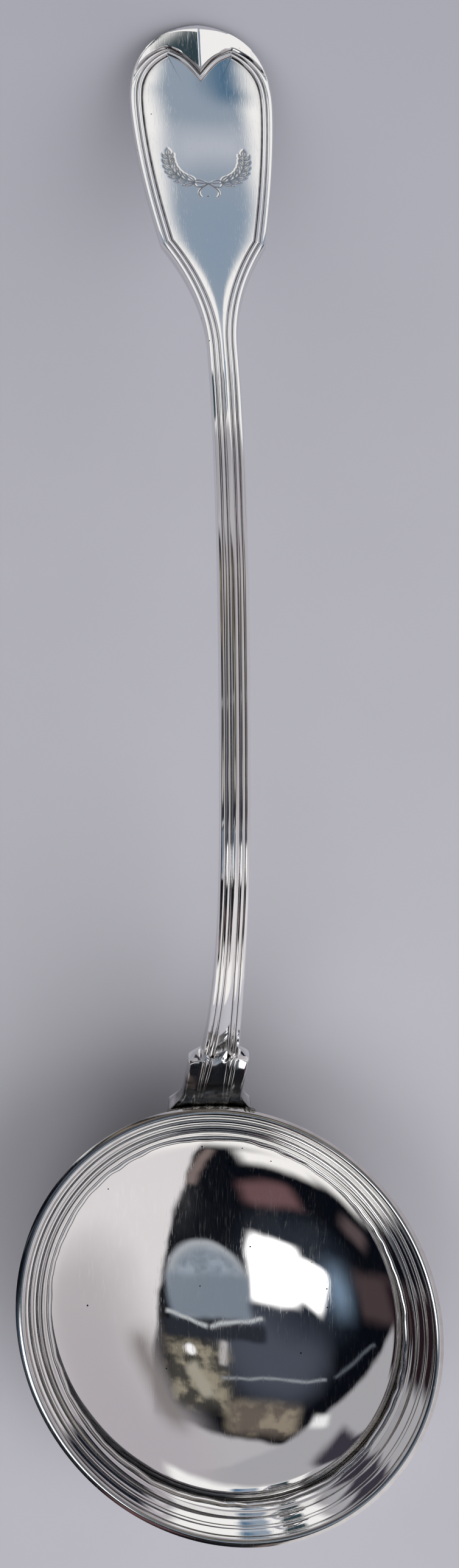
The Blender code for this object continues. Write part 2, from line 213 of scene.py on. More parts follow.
# %% [markdown]
# ## The reeded rim
# The rim is a strip of silver that was drawn through a die to give it reeds, bent round the
# flare of the lip and soldered down, with its outer edge rolled over the edge of the sheet.
# The strip is a wedge, thick along its inner edge, so that the reeds face up out of the bowl.
# From the inside it has two fine reeds, a cove, and a broad reed on either side of a thin one.
# The reeds are low, and neighbours meet in a fine groove. A bevelled curve could sweep the
# strip. Turned like the bowl, each groove is one ring of points, so that the tarnish that
# stays in it can be laid on exactly: the tarnish layer is 1 there.

# %% Section of the rim
SEAT_GAP = 0.0003
MOULDING_BASE = 0.0008
INNER_EDGE_RUN = 0.0042
INNER_EDGE_RISE = 0.0039
ROLL_DEPTH = 0.0008
ROLL_FULLNESS = 0.6
COVE_DEPTH = 0.00010
REED_STEPS = 17
COVE_TARNISH = 0.2
# the rolled edge is darkened a quarter of the way to black: a painted dark reflection of the shadow on the
# table
ROLL_PAINTED_REFLECTION = 0.25
INNER_SEAT_TARNISH = 0.6
OUTER_SEAT_TARNISH = 0.8
GROOVE_SHARPNESS = 20
# width and rise of each reed; a reed that falls is a cove
REEDS = (
    (FINE_REED, 0.00026),
    (FINE_REED, 0.00008),
    (COVE, -COVE_DEPTH),
    (BROAD_REED, 0.00006),
    (MIDDLE_REED, 0.00005),
    (BROAD_REED, 0.00006),
)

inner_edge = lip_foot + INNER_EDGE_RUN * UP + INNER_EDGE_RISE * OFF
outer_edge = lip_foot + LIP_RUN * UP + (SEAT_GAP + MOULDING_BASE) * OFF
reed_way = (outer_edge - inner_edge) / LIP_RUN
reed_off = np.array([-reed_way[1], reed_way[0]]) / np.linalg.norm(reed_way)
rim_section = [lip_foot + SEAT_GAP * OFF]
rim_tarnish_and_painted_reflection = [INNER_SEAT_TARNISH]
run = 0.0
for width, rise in REEDS:
    for a in np.linspace(math.pi, 0.0, REED_STEPS):
        along = run + width * 0.5 * (1.0 + math.cos(a))
        rim_section.append(inner_edge + along * reed_way + rise * math.sin(a) ** 2 * reed_off)
        rim_tarnish_and_painted_reflection.append(COVE_TARNISH if rise < 0.0 else abs(math.cos(a)) ** GROOVE_SHARPNESS)
    run += width
# the rolled edge carries painted dark reflection, not tarnish
for a in np.radians(np.linspace(6.0, 90.0, 14)):
    height = -ROLL_DEPTH + (SEAT_GAP + MOULDING_BASE + ROLL_DEPTH) * math.cos(a) ** ROLL_FULLNESS
    rim_section.append(lip_foot + (LIP_RUN + ROLLED_EDGE * math.sin(a)) * UP + height * OFF)
    rim_tarnish_and_painted_reflection.append(ROLL_PAINTED_REFLECTION)
for height in (-ROLL_DEPTH, SEAT_GAP):
    rim_section.append(lip_foot + (LIP_RUN + SEAT_GAP) * UP + height * OFF)
    rim_tarnish_and_painted_reflection.append(OUTER_SEAT_TARNISH)
slope = math.degrees(math.atan2(reed_way[1], reed_way[0]))
print("rim section has", len(rim_section), "points; its reeds lie at", round(slope), "degrees")

# %% Turn the rim
WEAR = 0.00045
LONG_WEAR = 5.0
SHORT_WEAR = 14.0
SHORT_SHARE = 0.6


def smooth_step(t):
    """From 0 to 1, level at both ends."""
    t = np.clip(t, 0.0, 1.0)
    return t * t * (3.0 - 2.0 * t)


points = turned(rim_section)
# knocks have left the two inner reeds uneven
uneven = []
for x, y, _ in points[:, 1]:
    way = Vector((x, y, 0.0)).normalized()
    uneven.append(noise.noise(LONG_WEAR * way) + SHORT_SHARE * noise.noise(SHORT_WEAR * way))
outward = points[:, 1, :2] / np.linalg.norm(points[:, 1, :2], axis=1)[:, None]
knocked = WEAR * np.array(uneven)[:, None] * outward
worn_points = 2 * REED_STEPS
ease = smooth_step(np.linspace(1.0, 0.0, worn_points))
points[:, 1 : 1 + worn_points, :2] += ease[None, :, None] * knocked[:, None, :]
faces = grid_faces(BOWL_STEPS, len(rim_section), rows_join=True, columns_join=True)
rim = add_piece("reeded_rim", points, faces, np.tile(rim_tarnish_and_painted_reflection, (BOWL_STEPS, 1)))
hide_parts("rim_moulding")

# %% Turn its solder seam
RIM_FILLET = 0.0008
RIM_FILLET_HEIGHT = 0.0006
SEAM_TARNISH = 0.4

seam = [(-SEAT_GAP, SEAT_GAP)]
for a in np.linspace(0.0, math.pi / 2, 9):
    # a hollow quarter round, as solder draws up between two faces
    along = -SEAT_GAP - RIM_FILLET * (1.0 - math.cos(a))
    seam.append((along, SEAT_GAP + RIM_FILLET_HEIGHT * (1.0 - math.sin(a))))
seam_section = [lip_foot + along * UP + height * OFF for along, height in seam]
points = turned(seam_section)
faces = grid_faces(BOWL_STEPS, len(seam), rows_join=True, columns_join=True)
rim_seam = add_piece("rim_solder_seam", points, faces, np.full(points.shape[:2], SEAM_TARNISH))
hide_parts("rim_solder")

# %% [markdown]
# ## The line of the handle
# The handle is one forging. Seen from the side its face leaves the lip at the slope of the
# flare, climbs to a crest, and sweeps down to the tip, which rests on the table. Three curves
# with matching directions at their ends give that line. Where they join, their curvature
# jumps, and a polished face shows that, so the line is eased with a short running mean.

# %% Sizes of the handle's line
CREST_REACH = 0.1087
CREST_HEIGHT = 0.0798
SWEEP_REACH = 0.2060
SWEEP_HEIGHT = 0.0572
SWEEP_ANGLE = math.radians(-36.0)
TIP_REACH = 0.2865
TIP_ANGLE = math.radians(-20.0)
HANDLE_ASIDE = -0.0045
TERMINAL_THICKNESS = 0.0024
BACK_ROUND = 0.4
print("crest stands", round(1000 * CREST_HEIGHT, 1), "mm above the table")

# %% Where the bowl's oval lies
back = np.linalg.inv(OVAL)
FORM = back.T @ back


def bowl_side(radius, x):
    """How far up the handle the bowl's oval of this radius reaches, at a distance aside."""
    b = 2.0 * FORM[0, 1] * x
    c = FORM[0, 0] * x * x - radius * radius
    root = np.sqrt(np.maximum(b * b - 4.0 * FORM[1, 1] * c, 0.0))
    return (root - b) / (2.0 * FORM[1, 1])


def bowl_radius(reach):
    """Radius of the round whose oval reaches this far up, in the plane of the handle."""
    across = FORM[0, 0] * HANDLE_ASIDE**2 + 2 * FORM[0, 1] * HANDLE_ASIDE * reach
    return np.sqrt(across + FORM[1, 1] * reach**2)


foot_reach = round(1000 * float(bowl_side(wall[-1, 0], 0.0)), 1)
print("foot of the lip lies", foot_reach, "mm up the handle from the bowl's axis")


# %% Seat of the drop and three curves
SEAT_STEPS = 160


def curve(start, end, start_angle, end_angle):
    """A smooth curve between two points with the given directions at its ends."""
    start = np.asarray(start)
    end = np.asarray(end)
    chord = np.linalg.norm(end - start)
    out = chord * np.array([math.cos(start_angle), math.sin(start_angle)])
    into = chord * np.array([math.cos(end_angle), math.sin(end_angle)])
    t = np.linspace(0.0, 1.0, 400)[:, None]
    ends = (2 * t**3 - 3 * t**2 + 1) * start + (3 * t**2 - 2 * t**3) * end
    return ends + (t**3 - 2 * t**2 + t) * out + (t**3 - t**2) * into


seat_wall = np.vstack([outer_wall(SEAT_STEPS), wall[-1] + LIP_RUN * UP])
ways = np.gradient(seat_wall, axis=0)
ways /= np.linalg.norm(ways, axis=1)[:, None]
seat = seat_wall + SEAT_GAP * np.column_stack([ways[:, 1], -ways[:, 0]])
seat = np.column_stack([bowl_side(seat[:, 0], HANDLE_ASIDE), seat[:, 1]])
tip = (TIP_REACH, (1.0 - BACK_ROUND) * TERMINAL_THICKNESS * math.cos(TIP_ANGLE))
crest = (CREST_REACH, CREST_HEIGHT)
sweep = (SWEEP_REACH, SWEEP_HEIGHT)
arch = np.vstack([
    curve(seat[-1], crest, LIP_SLOPE, 0.0),
    curve(crest, sweep, 0.0, SWEEP_ANGLE)[1:],
    curve(sweep, tip, SWEEP_ANGLE, TIP_ANGLE)[1:],
])
print("tip lies", round(1000 * (tip[0] - seat[-1, 0]), 1), "mm beyond the lip")


# %% Ease the joins
LINE_STEP = 0.0002
EASE_LENGTH = 0.006


def walk(line):
    """Distance along a line to each of its points."""
    return np.concatenate([[0.0], np.cumsum(np.linalg.norm(np.diff(line, axis=0), axis=1))])


def evenly(line):
    """The same line with its points LINE_STEP apart."""
    there = walk(line)
    at = np.linspace(0.0, there[-1], int(there[-1] / LINE_STEP) + 1)
    return np.column_stack([np.interp(at, there, line[:, i]) for i in (0, 1)])


arch = evenly(arch)
reach = int(3 * EASE_LENGTH / LINE_STEP)
bell = np.exp(-0.5 * (np.arange(-reach, reach + 1) * LINE_STEP / EASE_LENGTH) ** 2)
bell /= bell.sum()
eased = np.column_stack([np.convolve(arch[:, i], bell, "same") for i in (0, 1)])
from_end = np.minimum(np.arange(len(arch)), np.arange(len(arch))[::-1]) / reach
moved = smooth_step(from_end - 1.0)[:, None] * (eased - arch)
arch = arch + moved
print("easing moves the line by", round(1000 * float(np.abs(moved).max()), 2), "mm at most")

# %% From the tip over the arch to the end of the drop
DROP_LENGTH = 0.0240
SPARE_LINE = 0.004

below = walk(seat)
face_line = np.vstack([seat[below[-1] - below < DROP_LENGTH + SPARE_LINE][:-1], arch])[::-1]
along_line = walk(face_line)
line_way = np.gradient(face_line, along_line, axis=0)
line_way /= np.linalg.norm(line_way, axis=1)[:, None]
LIP = along_line[len(arch) - 1]
DROP_END = LIP + DROP_LENGTH
print("face runs", round(1000 * LIP, 1), "mm from the tip to the lip")

# %% Places on the handle
HOLLOW_RUN = 0.0080
STEM_TWIST = math.radians(10.0)
TWIST_RUN = (0.095, 0.270)
TWIST_EASE = (0.110, 0.030)


def place(s, u, n):
    """World points: s along the face from the tip, u aside of its middle, n off the face."""
    s, u, n = np.broadcast_arrays(s, u, n)
    reach, height = (np.interp(s, along_line, face_line[:, i]) for i in (0, 1))
    way_out, way_up = (np.interp(s, along_line, line_way[:, i]) for i in (0, 1))
    size = np.hypot(way_out, way_up)
    off_out, off_up = way_up / size, -way_out / size
    # the stem is twisted a little, as a long forging is
    twist = smooth_step((s - TWIST_RUN[0]) / TWIST_EASE[0])
    twist = twist * smooth_step((TWIST_RUN[1] - s) / TWIST_EASE[1])
    n = n - STEM_TWIST * twist * u
    # below the lip the face is hollowed to fit the round of the bowl
    lap = np.clip((s - LIP) / HOLLOW_RUN + 1.0, 0.0, 1.0)
    radius = bowl_radius(reach)
    hollow = bowl_side(radius, HANDLE_ASIDE) - bowl_side(radius, HANDLE_ASIDE + u)
    n = n - lap * lap * hollow * off_out
    return np.stack([HANDLE_ASIDE + u, reach + n * off_out, height + n * off_up], axis=-1)


print("tip of the face lies at", np.round(1000 * place(0.0, 0.0, 0.0), 1), "mm")

# %% [markdown]
# ## The outline of the handle
# Seen from its face the handle starts as a round-ended fiddle, tapers to two corners, curves
# in to a narrow stem, and widens again to squared shoulders and the drop that laps the back
# of the bowl. A curve object could be traced by hand, but a polished edge shows each kink, and
# formulas keep every stretch smooth. Only the right edge is drawn, as distances along and
# aside. The left is its mirror image.

# %% Right edge from tip to drop
TERMINAL_WIDTH = 0.0316
DOME_LENGTH = 0.0214
TAPER_LENGTH = 0.0443
FIDDLE_CORNER_WIDTH = 0.0221
WAIST_LENGTH = 0.0324
STEM_WIDTH = 0.0061
NECK_WIDTH = 0.0079
NECK_RUN = 0.042
SHOULDER_WIDTH = 0.0125
SHOULDER_STEP = 0.0014
SHOULDER_RISE = 0.0250
HEEL_WIDTH = 0.0176
HEEL_SPREAD = 0.0065
DROP_POINT = 0.0080
# how full or hollow each stretch of the edge is; 1 is a plain quarter round or a straight line
DOME_FULLNESS = (0.8, 0.91)
TAPER_BOW = 1.5
STEP_BOW = 1.6
WING_BOW = 2.2
DROP_FULLNESS = 0.9

CORNER = DOME_LENGTH + TAPER_LENGTH
WAIST = CORNER + WAIST_LENGTH
SHOULDERS = LIP - SHOULDER_RISE
half, corner, stem, neck, shoulder, heel = (
    0.5 * width
    for width in (TERMINAL_WIDTH, FIDDLE_CORNER_WIDTH, STEM_WIDTH, NECK_WIDTH, SHOULDER_WIDTH, HEEL_WIDTH)
)

DOME_ROWS = 84
a = np.linspace(0.0, math.pi / 2, DOME_ROWS + 1)
dome = np.column_stack([
    DOME_LENGTH * (1.0 - np.maximum(np.cos(a), 0.0) ** DOME_FULLNESS[0]),
    half * np.sin(a) ** DOME_FULLNESS[1],
])
t = np.linspace(0.0, 1.0, 151)[1:]
taper = np.column_stack([DOME_LENGTH + TAPER_LENGTH * t, half - (half - corner) * t**TAPER_BOW])
t = np.linspace(0.0, 1.0, 61)[1:]
waist = np.column_stack([CORNER + WAIST_LENGTH * t, stem + (corner - stem) * (1.0 - t) ** 2])
s = np.linspace(WAIST, SHOULDERS, 141)[1:]
t = np.maximum(0.0, 1.0 - (SHOULDERS - s) / NECK_RUN)
shaft = np.column_stack([s, stem + (neck - stem) * t * t])
t = np.linspace(0.0, 1.0, 9)[1:]
step = np.column_stack([SHOULDERS + SHOULDER_STEP * t**STEP_BOW, neck + (shoulder - neck) * t])
s = np.linspace(SHOULDERS + SHOULDER_STEP, LIP, 51)[1:]
t = np.maximum(0.0, 1.0 - (LIP - s) / HEEL_SPREAD)
wings = np.column_stack([s, shoulder + (heel - shoulder) * t**WING_BOW])
a = np.linspace(0.0, math.pi / 2, 41)[1:]
drop = np.column_stack([LIP + DROP_LENGTH * np.sin(a), heel * np.maximum(np.cos(a), 0.0) ** DROP_FULLNESS])
drop[-1] = (DROP_END, 0.0)
edge = np.vstack([dome, taper, waist, shaft, step, wings, drop])
ends = np.cumsum([len(run) for run in (dome, taper, waist, shaft, step, wings, drop)]) - 1
corners = (ends[1], ends[3], ends[4])
print("outline has", len(edge), "points")


# %% Ways from the edge into the metal
def inward(line, tip_way):
    """Way from each point of an edge line into the metal, longer at a sharp corner."""
    before = np.diff(line, axis=0, prepend=line[:1])
    after = np.diff(line, axis=0, append=line[-1:])
    before[0] = after[0]
    after[-1] = before[-1]
    normals = []
    for side in (before, after):
        normal = np.column_stack([side[:, 1], -side[:, 0]])
        normals.append(normal / np.maximum(np.linalg.norm(normal, axis=1), 1e-12)[:, None])
    way = normals[0] + normals[1]
    way /= np.maximum(np.linalg.norm(way, axis=1), 1e-12)[:, None]
    for i in corners:
        way[i] /= max(way[i] @ normals[0][i], 0.5)
    way[0] = (tip_way, 0.0)
    way[-1] = (-1.0, 0.0)
    return way


print("way in from the fiddle's corner:", np.round(inward(edge, 1.0)[corners[0]], 2))

# %% [markdown]
# ## Threads, heart and nib
# The face was struck between dies. Two threads, like fine half-round wires, follow the edge.
# At the top they leave it, arch over two lobes and dip to a point, which makes the heart, and
# the metal above the heart is raised to a nib with a sharp middle line. Down at the shoulders
# the threads run straight on while the edge steps out. So each row of the grid goes from the
# middle of the face over field, threads and nib or shoulder to the edge, and round the back.

# %% Rows across the handle
TERMINAL_THREADS = (0.00125, 0.00115)
STEM_THREADS = (0.00075, 0.00110)
LIP_THREADS = 0.0006
DROP_THREADS = 0.0004
THREAD_DEPTH = 0.00038
THREAD_FADE = 0.0060
THREAD_STOP = 0.0040
STEM_THICKNESS = 0.0034
NECK_THICKNESS = 0.0050
DROP_THICKNESS = 0.0016

s, u = edge[:, 0], edge[:, 1]
marks = [0.0, WAIST, SHOULDERS, LIP, DROP_END]
outer_thread, inner_thread = (
    np.interp(s, marks, [on_terminal, on_stem, on_stem, LIP_THREADS, DROP_THREADS])
    for on_terminal, on_stem in zip(TERMINAL_THREADS, STEM_THREADS)
)
depth = np.interp(s, [SHOULDERS + THREAD_FADE, LIP - THREAD_STOP], [THREAD_DEPTH, 0.0])
thicknesses = [TERMINAL_THICKNESS, STEM_THICKNESS, NECK_THICKNESS, NECK_THICKNESS, DROP_THICKNESS]
thick = np.interp(s, marks, thicknesses)
lip_row = int(np.argmax(s >= LIP - WELD))
print("threads are", round(1000 * THREAD_DEPTH, 2), "mm deep on", len(edge), "rows")

# %% Line where the threads start
EDGE_ROUND = 0.0003
NIB_LENGTH = 0.0135
RIM_WIDEN = 0.0019
# from here on, as shares of the half width, the way into the dome turns from down to square on
LEAN_FROM = 0.3
LEAN_RUN = 0.4
THREAD_START = 0.0030
THREAD_GROW = 0.0125
HEART_POINT = 1.7
WING_SHARE = 0.85

# it keeps to the edge, but for the heart and the shoulders
row_number = np.arange(len(edge))
on_dome = row_number < DOME_ROWS
aside = np.where(on_dome, u / half, 1.0)
under_nib = (NIB_LENGTH - EDGE_ROUND) * (1.0 - aside) ** 2
border_width = EDGE_ROUND + under_nib + RIM_WIDEN * np.sin(math.pi * aside**2)
lean = smooth_step((aside - LEAN_FROM) / LEAN_RUN)[:, None]
heart_way = (1.0 - lean) * (1.0, 0.0) + lean * inward(edge, 1.0)
heart = edge + border_width[:, None] * heart_way
outer_thread *= np.where(on_dome, smooth_step((u - THREAD_START) / THREAD_GROW), 1.0)
on_wing = row_number > ends[3]
heart[on_wing] = edge[on_wing]
heart[on_wing, 1] = np.minimum(neck - EDGE_ROUND, WING_SHARE * edge[on_wing, 1])
thread_way = inward(heart, HEART_POINT)
thread_way[on_wing] = (0.0, -1.0)
thread_way[-1] = (-1.0, 0.0)
print("heart dips to", round(1000 * heart[0, 0], 1), "mm from the tip")

# %% Middle line that the rows run to
FIELD_ROOT = 0.0090
FAN_END = 0.8

# it fans out under the heart and at the drop
run = walk(edge)
fan = int(np.argmax(s > FAN_END * CORNER))
middle = s.copy()
root = NIB_LENGTH + FIELD_ROOT
middle[:fan] = root + (s[fan] - root) * run[:fan] / run[fan]
past_lip = (run[lip_row:] - run[lip_row]) / (run[-1] - run[lip_row])
middle[lip_row:] = LIP + (DROP_LENGTH - DROP_POINT) * past_lip
centre = np.column_stack([middle, np.zeros_like(middle)])
print("field starts", round(1000 * middle[0], 1), "mm from the tip")

# %% [markdown]
# ## Heights across the face
# Seen along the stem, the face is a low crown with the threads cut into it. The grid gets its
# heights from that section, part by part from the edge to the middle. A sculpted mesh would
# do as well from afar, but the double line of the threads has to stay even over 300 mm.

# %% Crown of the face
TERMINAL_CROWN = 0.0008
STEM_CROWN = 0.0003
TIP_ROUND = 0.0120


def column(values):
    """Values for the rows, ready to be spread over the columns."""
    return np.asarray(values)[:, None]


even = np.arange(0.0, LIP, LINE_STEP)
face_half = np.where(even < DOME_LENGTH, half, np.interp(even, edge[:, 0], edge[:, 1]))
face_half = np.convolve(np.pad(face_half, reach, "edge"), bell, "valid")


def swelling(s, u):
    """Height of the plain crowned face. It falls off to the sides and to the tip."""
    rise = np.interp(s, marks, [TERMINAL_CROWN, STEM_CROWN, STEM_CROWN, 0.0, 0.0])
    to_tip = 1.0 - (1.0 - np.clip(s / TIP_ROUND, 0.0, 1.0)) ** 2
    to_side = 1.0 - np.clip(u / np.interp(s, even, face_half), 0.0, 1.0) ** 2
    return rise * to_tip * to_side


def blend(start, end, t):
    """Points between two lines, a column for each share t."""
    return start[:, None, :] + np.asarray(t)[None, :, None] * (end - start)[:, None, :]


crowns = [round(1000 * crown, 1) for crown in (TERMINAL_CROWN, STEM_CROWN)]
print("crowns of the fiddle and the stem rise", crowns, "mm")

# %% Nib or shoulder, from the edge to the threads
EDGE_FALL = 0.00055
NIB_RISE = 0.0011
NIB_HALF = 0.0115
NIB_BOW = 1.5
WING_DROP = 0.00030
# a border wider than this gets a groove of its own beside the threads
BORDER_OPENS = 0.0004
BORDER_OPEN_RUN = 0.0012
GROOVE_RUN = 0.0006
# points stand closer together beside the edge
CROWDING = 1.4

t = 1.0 - (1.0 - np.linspace(0.0, 1.0, 15)[:-1]) ** CROWDING
border = blend(edge, heart, t)
width = np.linalg.norm(heart - edge, axis=1)
inside_edge = column(width) * t[None, :]
open_border = smooth_step((width - BORDER_OPENS) / BORDER_OPEN_RUN)
drop_edge = np.minimum(EDGE_FALL, np.interp(s, [LIP - THREAD_STOP, LIP], [EDGE_FALL, 0.0]))
roll = 1.0 - np.sqrt(1.0 - (1.0 - np.clip(inside_edge / EDGE_FALL, 0.0, 1.0)) ** 2)
facet = NIB_RISE * np.clip(1.0 - np.abs(border[..., 1]) / NIB_HALF, 0.0, 1.0) ** NIB_BOW
facet *= column(on_dome)
wing = column(on_wing) * WING_DROP * column(np.interp(s, [LIP - THREAD_STOP, LIP], [1.0, 0.0]))
last_part = smooth_step(1.0 - column(width) * (1.0 - t[None, :]) / GROOVE_RUN)
border_height = (facet - wing) * (1.0 - last_part * column(open_border))
border_height -= column(drop_edge) * roll + column(open_border * depth) * last_part
print("nib is", round(1000 * width[0], 1), "mm long")

# %% Two half-round threads
BEAD_POINTS = 13

a = np.linspace(0.0, math.pi, BEAD_POINTS)
t = 0.5 * (1.0 - np.cos(a))
first_way = column(outer_thread)[:, :, None] * thread_way[:, None, :]
outer_bead = heart[:, None, :] + t[None, :, None] * first_way
start_depth = np.where(a < math.pi / 2, column(open_border * depth), column(depth))
outer_height = -start_depth * (1.0 - np.sin(a))[None, :]
groove = outer_bead[:, -1, :]
second_way = column(inner_thread)[:, :, None] * thread_way[:, None, :]
inner_bead = groove[:, None, :] + t[None, 1:, None] * second_way
inner_height = -column(depth) * (1.0 - np.sin(a[1:]))[None, :]
widest = [round(1000 * float(thread.max()), 2) for thread in (outer_thread, inner_thread)]
print("threads are", widest, "mm wide at most")

# %% Field, side and back
GROOVE_SIDE = 0.00045
STEM_REED = 0.00016
FIELD_CROWDING = 1.15
EDGE_BULGE = 0.00012
BACK_CROWDING = 1.2
BACK_BOW = 2.5

# the field rises out of the last groove
t = np.linspace(0.0, 1.0, 75)[1:] ** FIELD_CROWDING
field = blend(inner_bead[:, -1, :], centre, t)
from_groove = np.linalg.norm(field - inner_bead[:, -1:, :], axis=-1)
field_height = -column(depth) * np.clip(1.0 - from_groove / GROOVE_SIDE, 0.0, 1.0) ** 2
reed = np.interp(s, [CORNER, WAIST, SHOULDERS, LIP - THREAD_STOP], [0.0, STEM_REED, STEM_REED, 0.0])
field_height += column(reed) * (1.0 - (1.0 - t[None, :]) ** 2)

# the side, and the back from its edge to its middle
t = np.linspace(0.0, 1.0, 7)[1:-1]
side_top = -drop_edge
side_foot = -(1.0 - BACK_ROUND) * thick
side_height = column(side_top) + t[None, :] * column(side_foot - side_top)
bulge = EDGE_BULGE * np.sin(math.pi * t)[None, :, None] * inward(edge, 1.0)[:, None, :]
side = edge[:, None, :] - bulge
t = 1.0 - (1.0 - np.linspace(0.0, 1.0, 17)) ** BACK_CROWDING
rear = blend(edge, centre, t)
rear_height = -column(thick) * (1.0 - BACK_ROUND * (1.0 - t[None, :]) ** BACK_BOW)
row_parts = (field, inner_bead, outer_bead, border, side, rear)
print("rows have", sum(part.shape[1] for part in row_parts), "points a side")

# %% [markdown]
# ## Engraving on the field
# The middle of the field carries cut lines. They are drawn here as a plain laurel spray, two
# branches that curl up from a tie. Bump could fake it, but the graver leaves a real groove, so
# the field's own points near a line are pushed in, with a depth that falls off to the sides.

# %% Lines of the spray
SPRAY_MIDDLE = 0.0435
SPRAY_HALF = 0.0082
SPRAY_RISE = 0.0088
BRANCH_LOW = 0.42
BRANCH_CURL = (1.7, 0.8)
LEAF_PAIRS = 7
FIRST_LEAF = 0.16
LAST_LEAF = 0.94
LEAF_LENGTH = 0.0029
LEAF_LEAN = 0.62
LEAF_BOW = 0.22
LEAF_TAPER = 0.05
RIB_SHARE = 0.75
TOP_LEAF = 0.8
LOOP_SIZE = (0.0011, 0.0030)
TAIL_SIZE = (0.0042, 0.0022)
TAIL_CURL = 2.2


def leaf(at, angle, length):
    """Two bowed sides and a rib, from a point on the branch."""
    t = np.linspace(0.0, 1.0, 19)
    ahead = np.array([math.cos(angle), math.sin(angle)])
    aside = np.array([-ahead[1], ahead[0]])
    lines = []
    for bow in (LEAF_BOW, -LEAF_BOW, 0.0):
        forward = t if bow else RIB_SHARE * t
        sideways = bow * np.sin(math.pi * t)
        lines.append(at + length * (forward[:, None] * ahead + sideways[:, None] * aside))
    return lines


spray = []
t = np.linspace(0.0, 1.0, 90)
branch = np.column_stack([
    SPRAY_MIDDLE + BRANCH_LOW * SPRAY_RISE - SPRAY_RISE * t ** BRANCH_CURL[0],
    SPRAY_HALF * np.sin(0.5 * math.pi * t ** BRANCH_CURL[1]),
])
spray.append(branch)
for pair, share in enumerate(np.linspace(FIRST_LEAF, LAST_LEAF, LEAF_PAIRS)):
    number = int((len(branch) - 1) * share)
    at = branch[number]
    ahead = branch[number + 2] - at
    heading = math.atan2(ahead[1], ahead[0])
    length = LEAF_LENGTH * (1.0 - LEAF_TAPER * pair)
    for lean in (LEAF_LEAN, -LEAF_LEAN):
        spray += leaf(at, heading + lean, length)
spray += leaf(branch[-1], math.atan2(*(branch[-1] - branch[-5])[::-1]), TOP_LEAF * LEAF_LENGTH)
a = np.linspace(0.0, 2.0 * math.pi, 40)
loop = np.column_stack([LOOP_SIZE[0] * np.sin(2 * a), LOOP_SIZE[1] * np.abs(np.sin(a))]) + branch[0]
tail = np.column_stack([TAIL_SIZE[0] * t, TAIL_SIZE[1] * np.sin(TAIL_CURL * t)]) + branch[0]
spray += [loop, tail]
cuts = np.vstack(spray)
cuts = np.vstack([cuts, cuts * (1.0, -1.0)])
print("spray has", 2 * len(spray), "cut lines")

# %% Cut them into the field
CUT_WIDTH = 0.00028
CUT_DEPTH = 0.00005

nearest = kdtree.KDTree(len(cuts))
for number, (cut_s, cut_u) in enumerate(cuts):
    nearest.insert((cut_s, cut_u, 0.0), number)
nearest.balance()
low = cuts.min(axis=0) - CUT_WIDTH
high = cuts.max(axis=0) + CUT_WIDTH
near = np.all((field > low) & (field < (high[0], 1.0)), axis=-1)
engraved = np.zeros(field_height.shape)
for row, place_in_row in zip(*np.nonzero(near)):
    _, _, distance = nearest.find((*field[row, place_in_row], 0.0))
    engraved[row, place_in_row] = max(0.0, 1.0 - distance / CUT_WIDTH)
field_height = field_height - CUT_DEPTH * engraved
print("engraving touches", int((engraved > 0.0).sum()), "points over", np.round(1000 * (high - low), 1), "mm")

# %% [markdown]
# ## Tarnish, painted dark reflection and skin of the handle
# Rubbing keeps the open face bright, and sulphide stays where no cloth goes: in the cut lines
# and in the grooves beside the threads. The face of the neck where it meets the rim is painted
# black in the same layer, as a painted dark reflection of the room that it mirrors, with less
# on its sides and back. The tarnish could be painted by hand. Here each point's place in its row
# already says whether it lies in a groove, so the layer comes from the same arrays as the heights.

# %% Tarnish of the handle
CUT_TARNISH = 0.9
FIELD_GROOVE = 40.0
BEAD_SHARPNESS = 9
SIDE_TARNISH = 0.15
BACK_TARNISH = 0.10
# over 1, so that the neck's painted dark reflection stays black where the rubbing noise thins the layer
NECK_PAINTED_REFLECTION = 1.2
NECK_DARK_ABOVE = 0.0192
NECK_DARK_BELOW = 0.0080
NECK_FADES = (0.006, 0.004)
# share of the neck's painted dark reflection on its face, sides and back
NECK_SHARES = (1.0, 0.6, 0.15)

rows = len(edge)
to_groove = np.linspace(1.0, 0.0, field.shape[1])
field_tarnish = np.maximum(CUT_TARNISH * engraved[:, ::-1], np.exp(-FIELD_GROOVE * to_groove)[None, :])
bead_groove = np.abs(np.cos(np.linspace(0.0, math.pi, BEAD_POINTS)))[::-1] ** BEAD_SHARPNESS
outer_half = np.arange(BEAD_POINTS)[::-1] < BEAD_POINTS // 2
tarnish_and_painted_reflection = np.concatenate(
    [
        field_tarnish,
        np.tile(bead_groove[:-1], (rows, 1)),
        np.tile(bead_groove, (rows, 1)) * np.where(outer_half, column(open_border), 1.0),
        (last_part * column(open_border))[:, ::-1],
        np.full(side.shape[:2], SIDE_TARNISH),
        np.full(rear.shape[:2], BACK_TARNISH),
    ],
    axis=1,
)
# painted dark reflection: the neck near the rim is blackened for the dark room that it mirrors
neck_dark = NECK_PAINTED_REFLECTION * smooth_step((s - LIP + NECK_DARK_ABOVE) / NECK_FADES[0])
neck_dark = neck_dark * smooth_step((LIP + NECK_DARK_BELOW - s) / NECK_FADES[1])
to_edge = tarnish_and_painted_reflection.shape[1] - side.shape[1] - rear.shape[1]
neck_reflection_share = np.repeat(NECK_SHARES, [to_edge, side.shape[1], rear.shape[1]])
tarnish_and_painted_reflection = np.maximum(tarnish_and_painted_reflection, column(neck_dark) * neck_reflection_share[None, :])
print("tarnish is heavy on", round(100 * float((tarnish_and_painted_reflection > 0.5).mean())), "% of the handle's points")

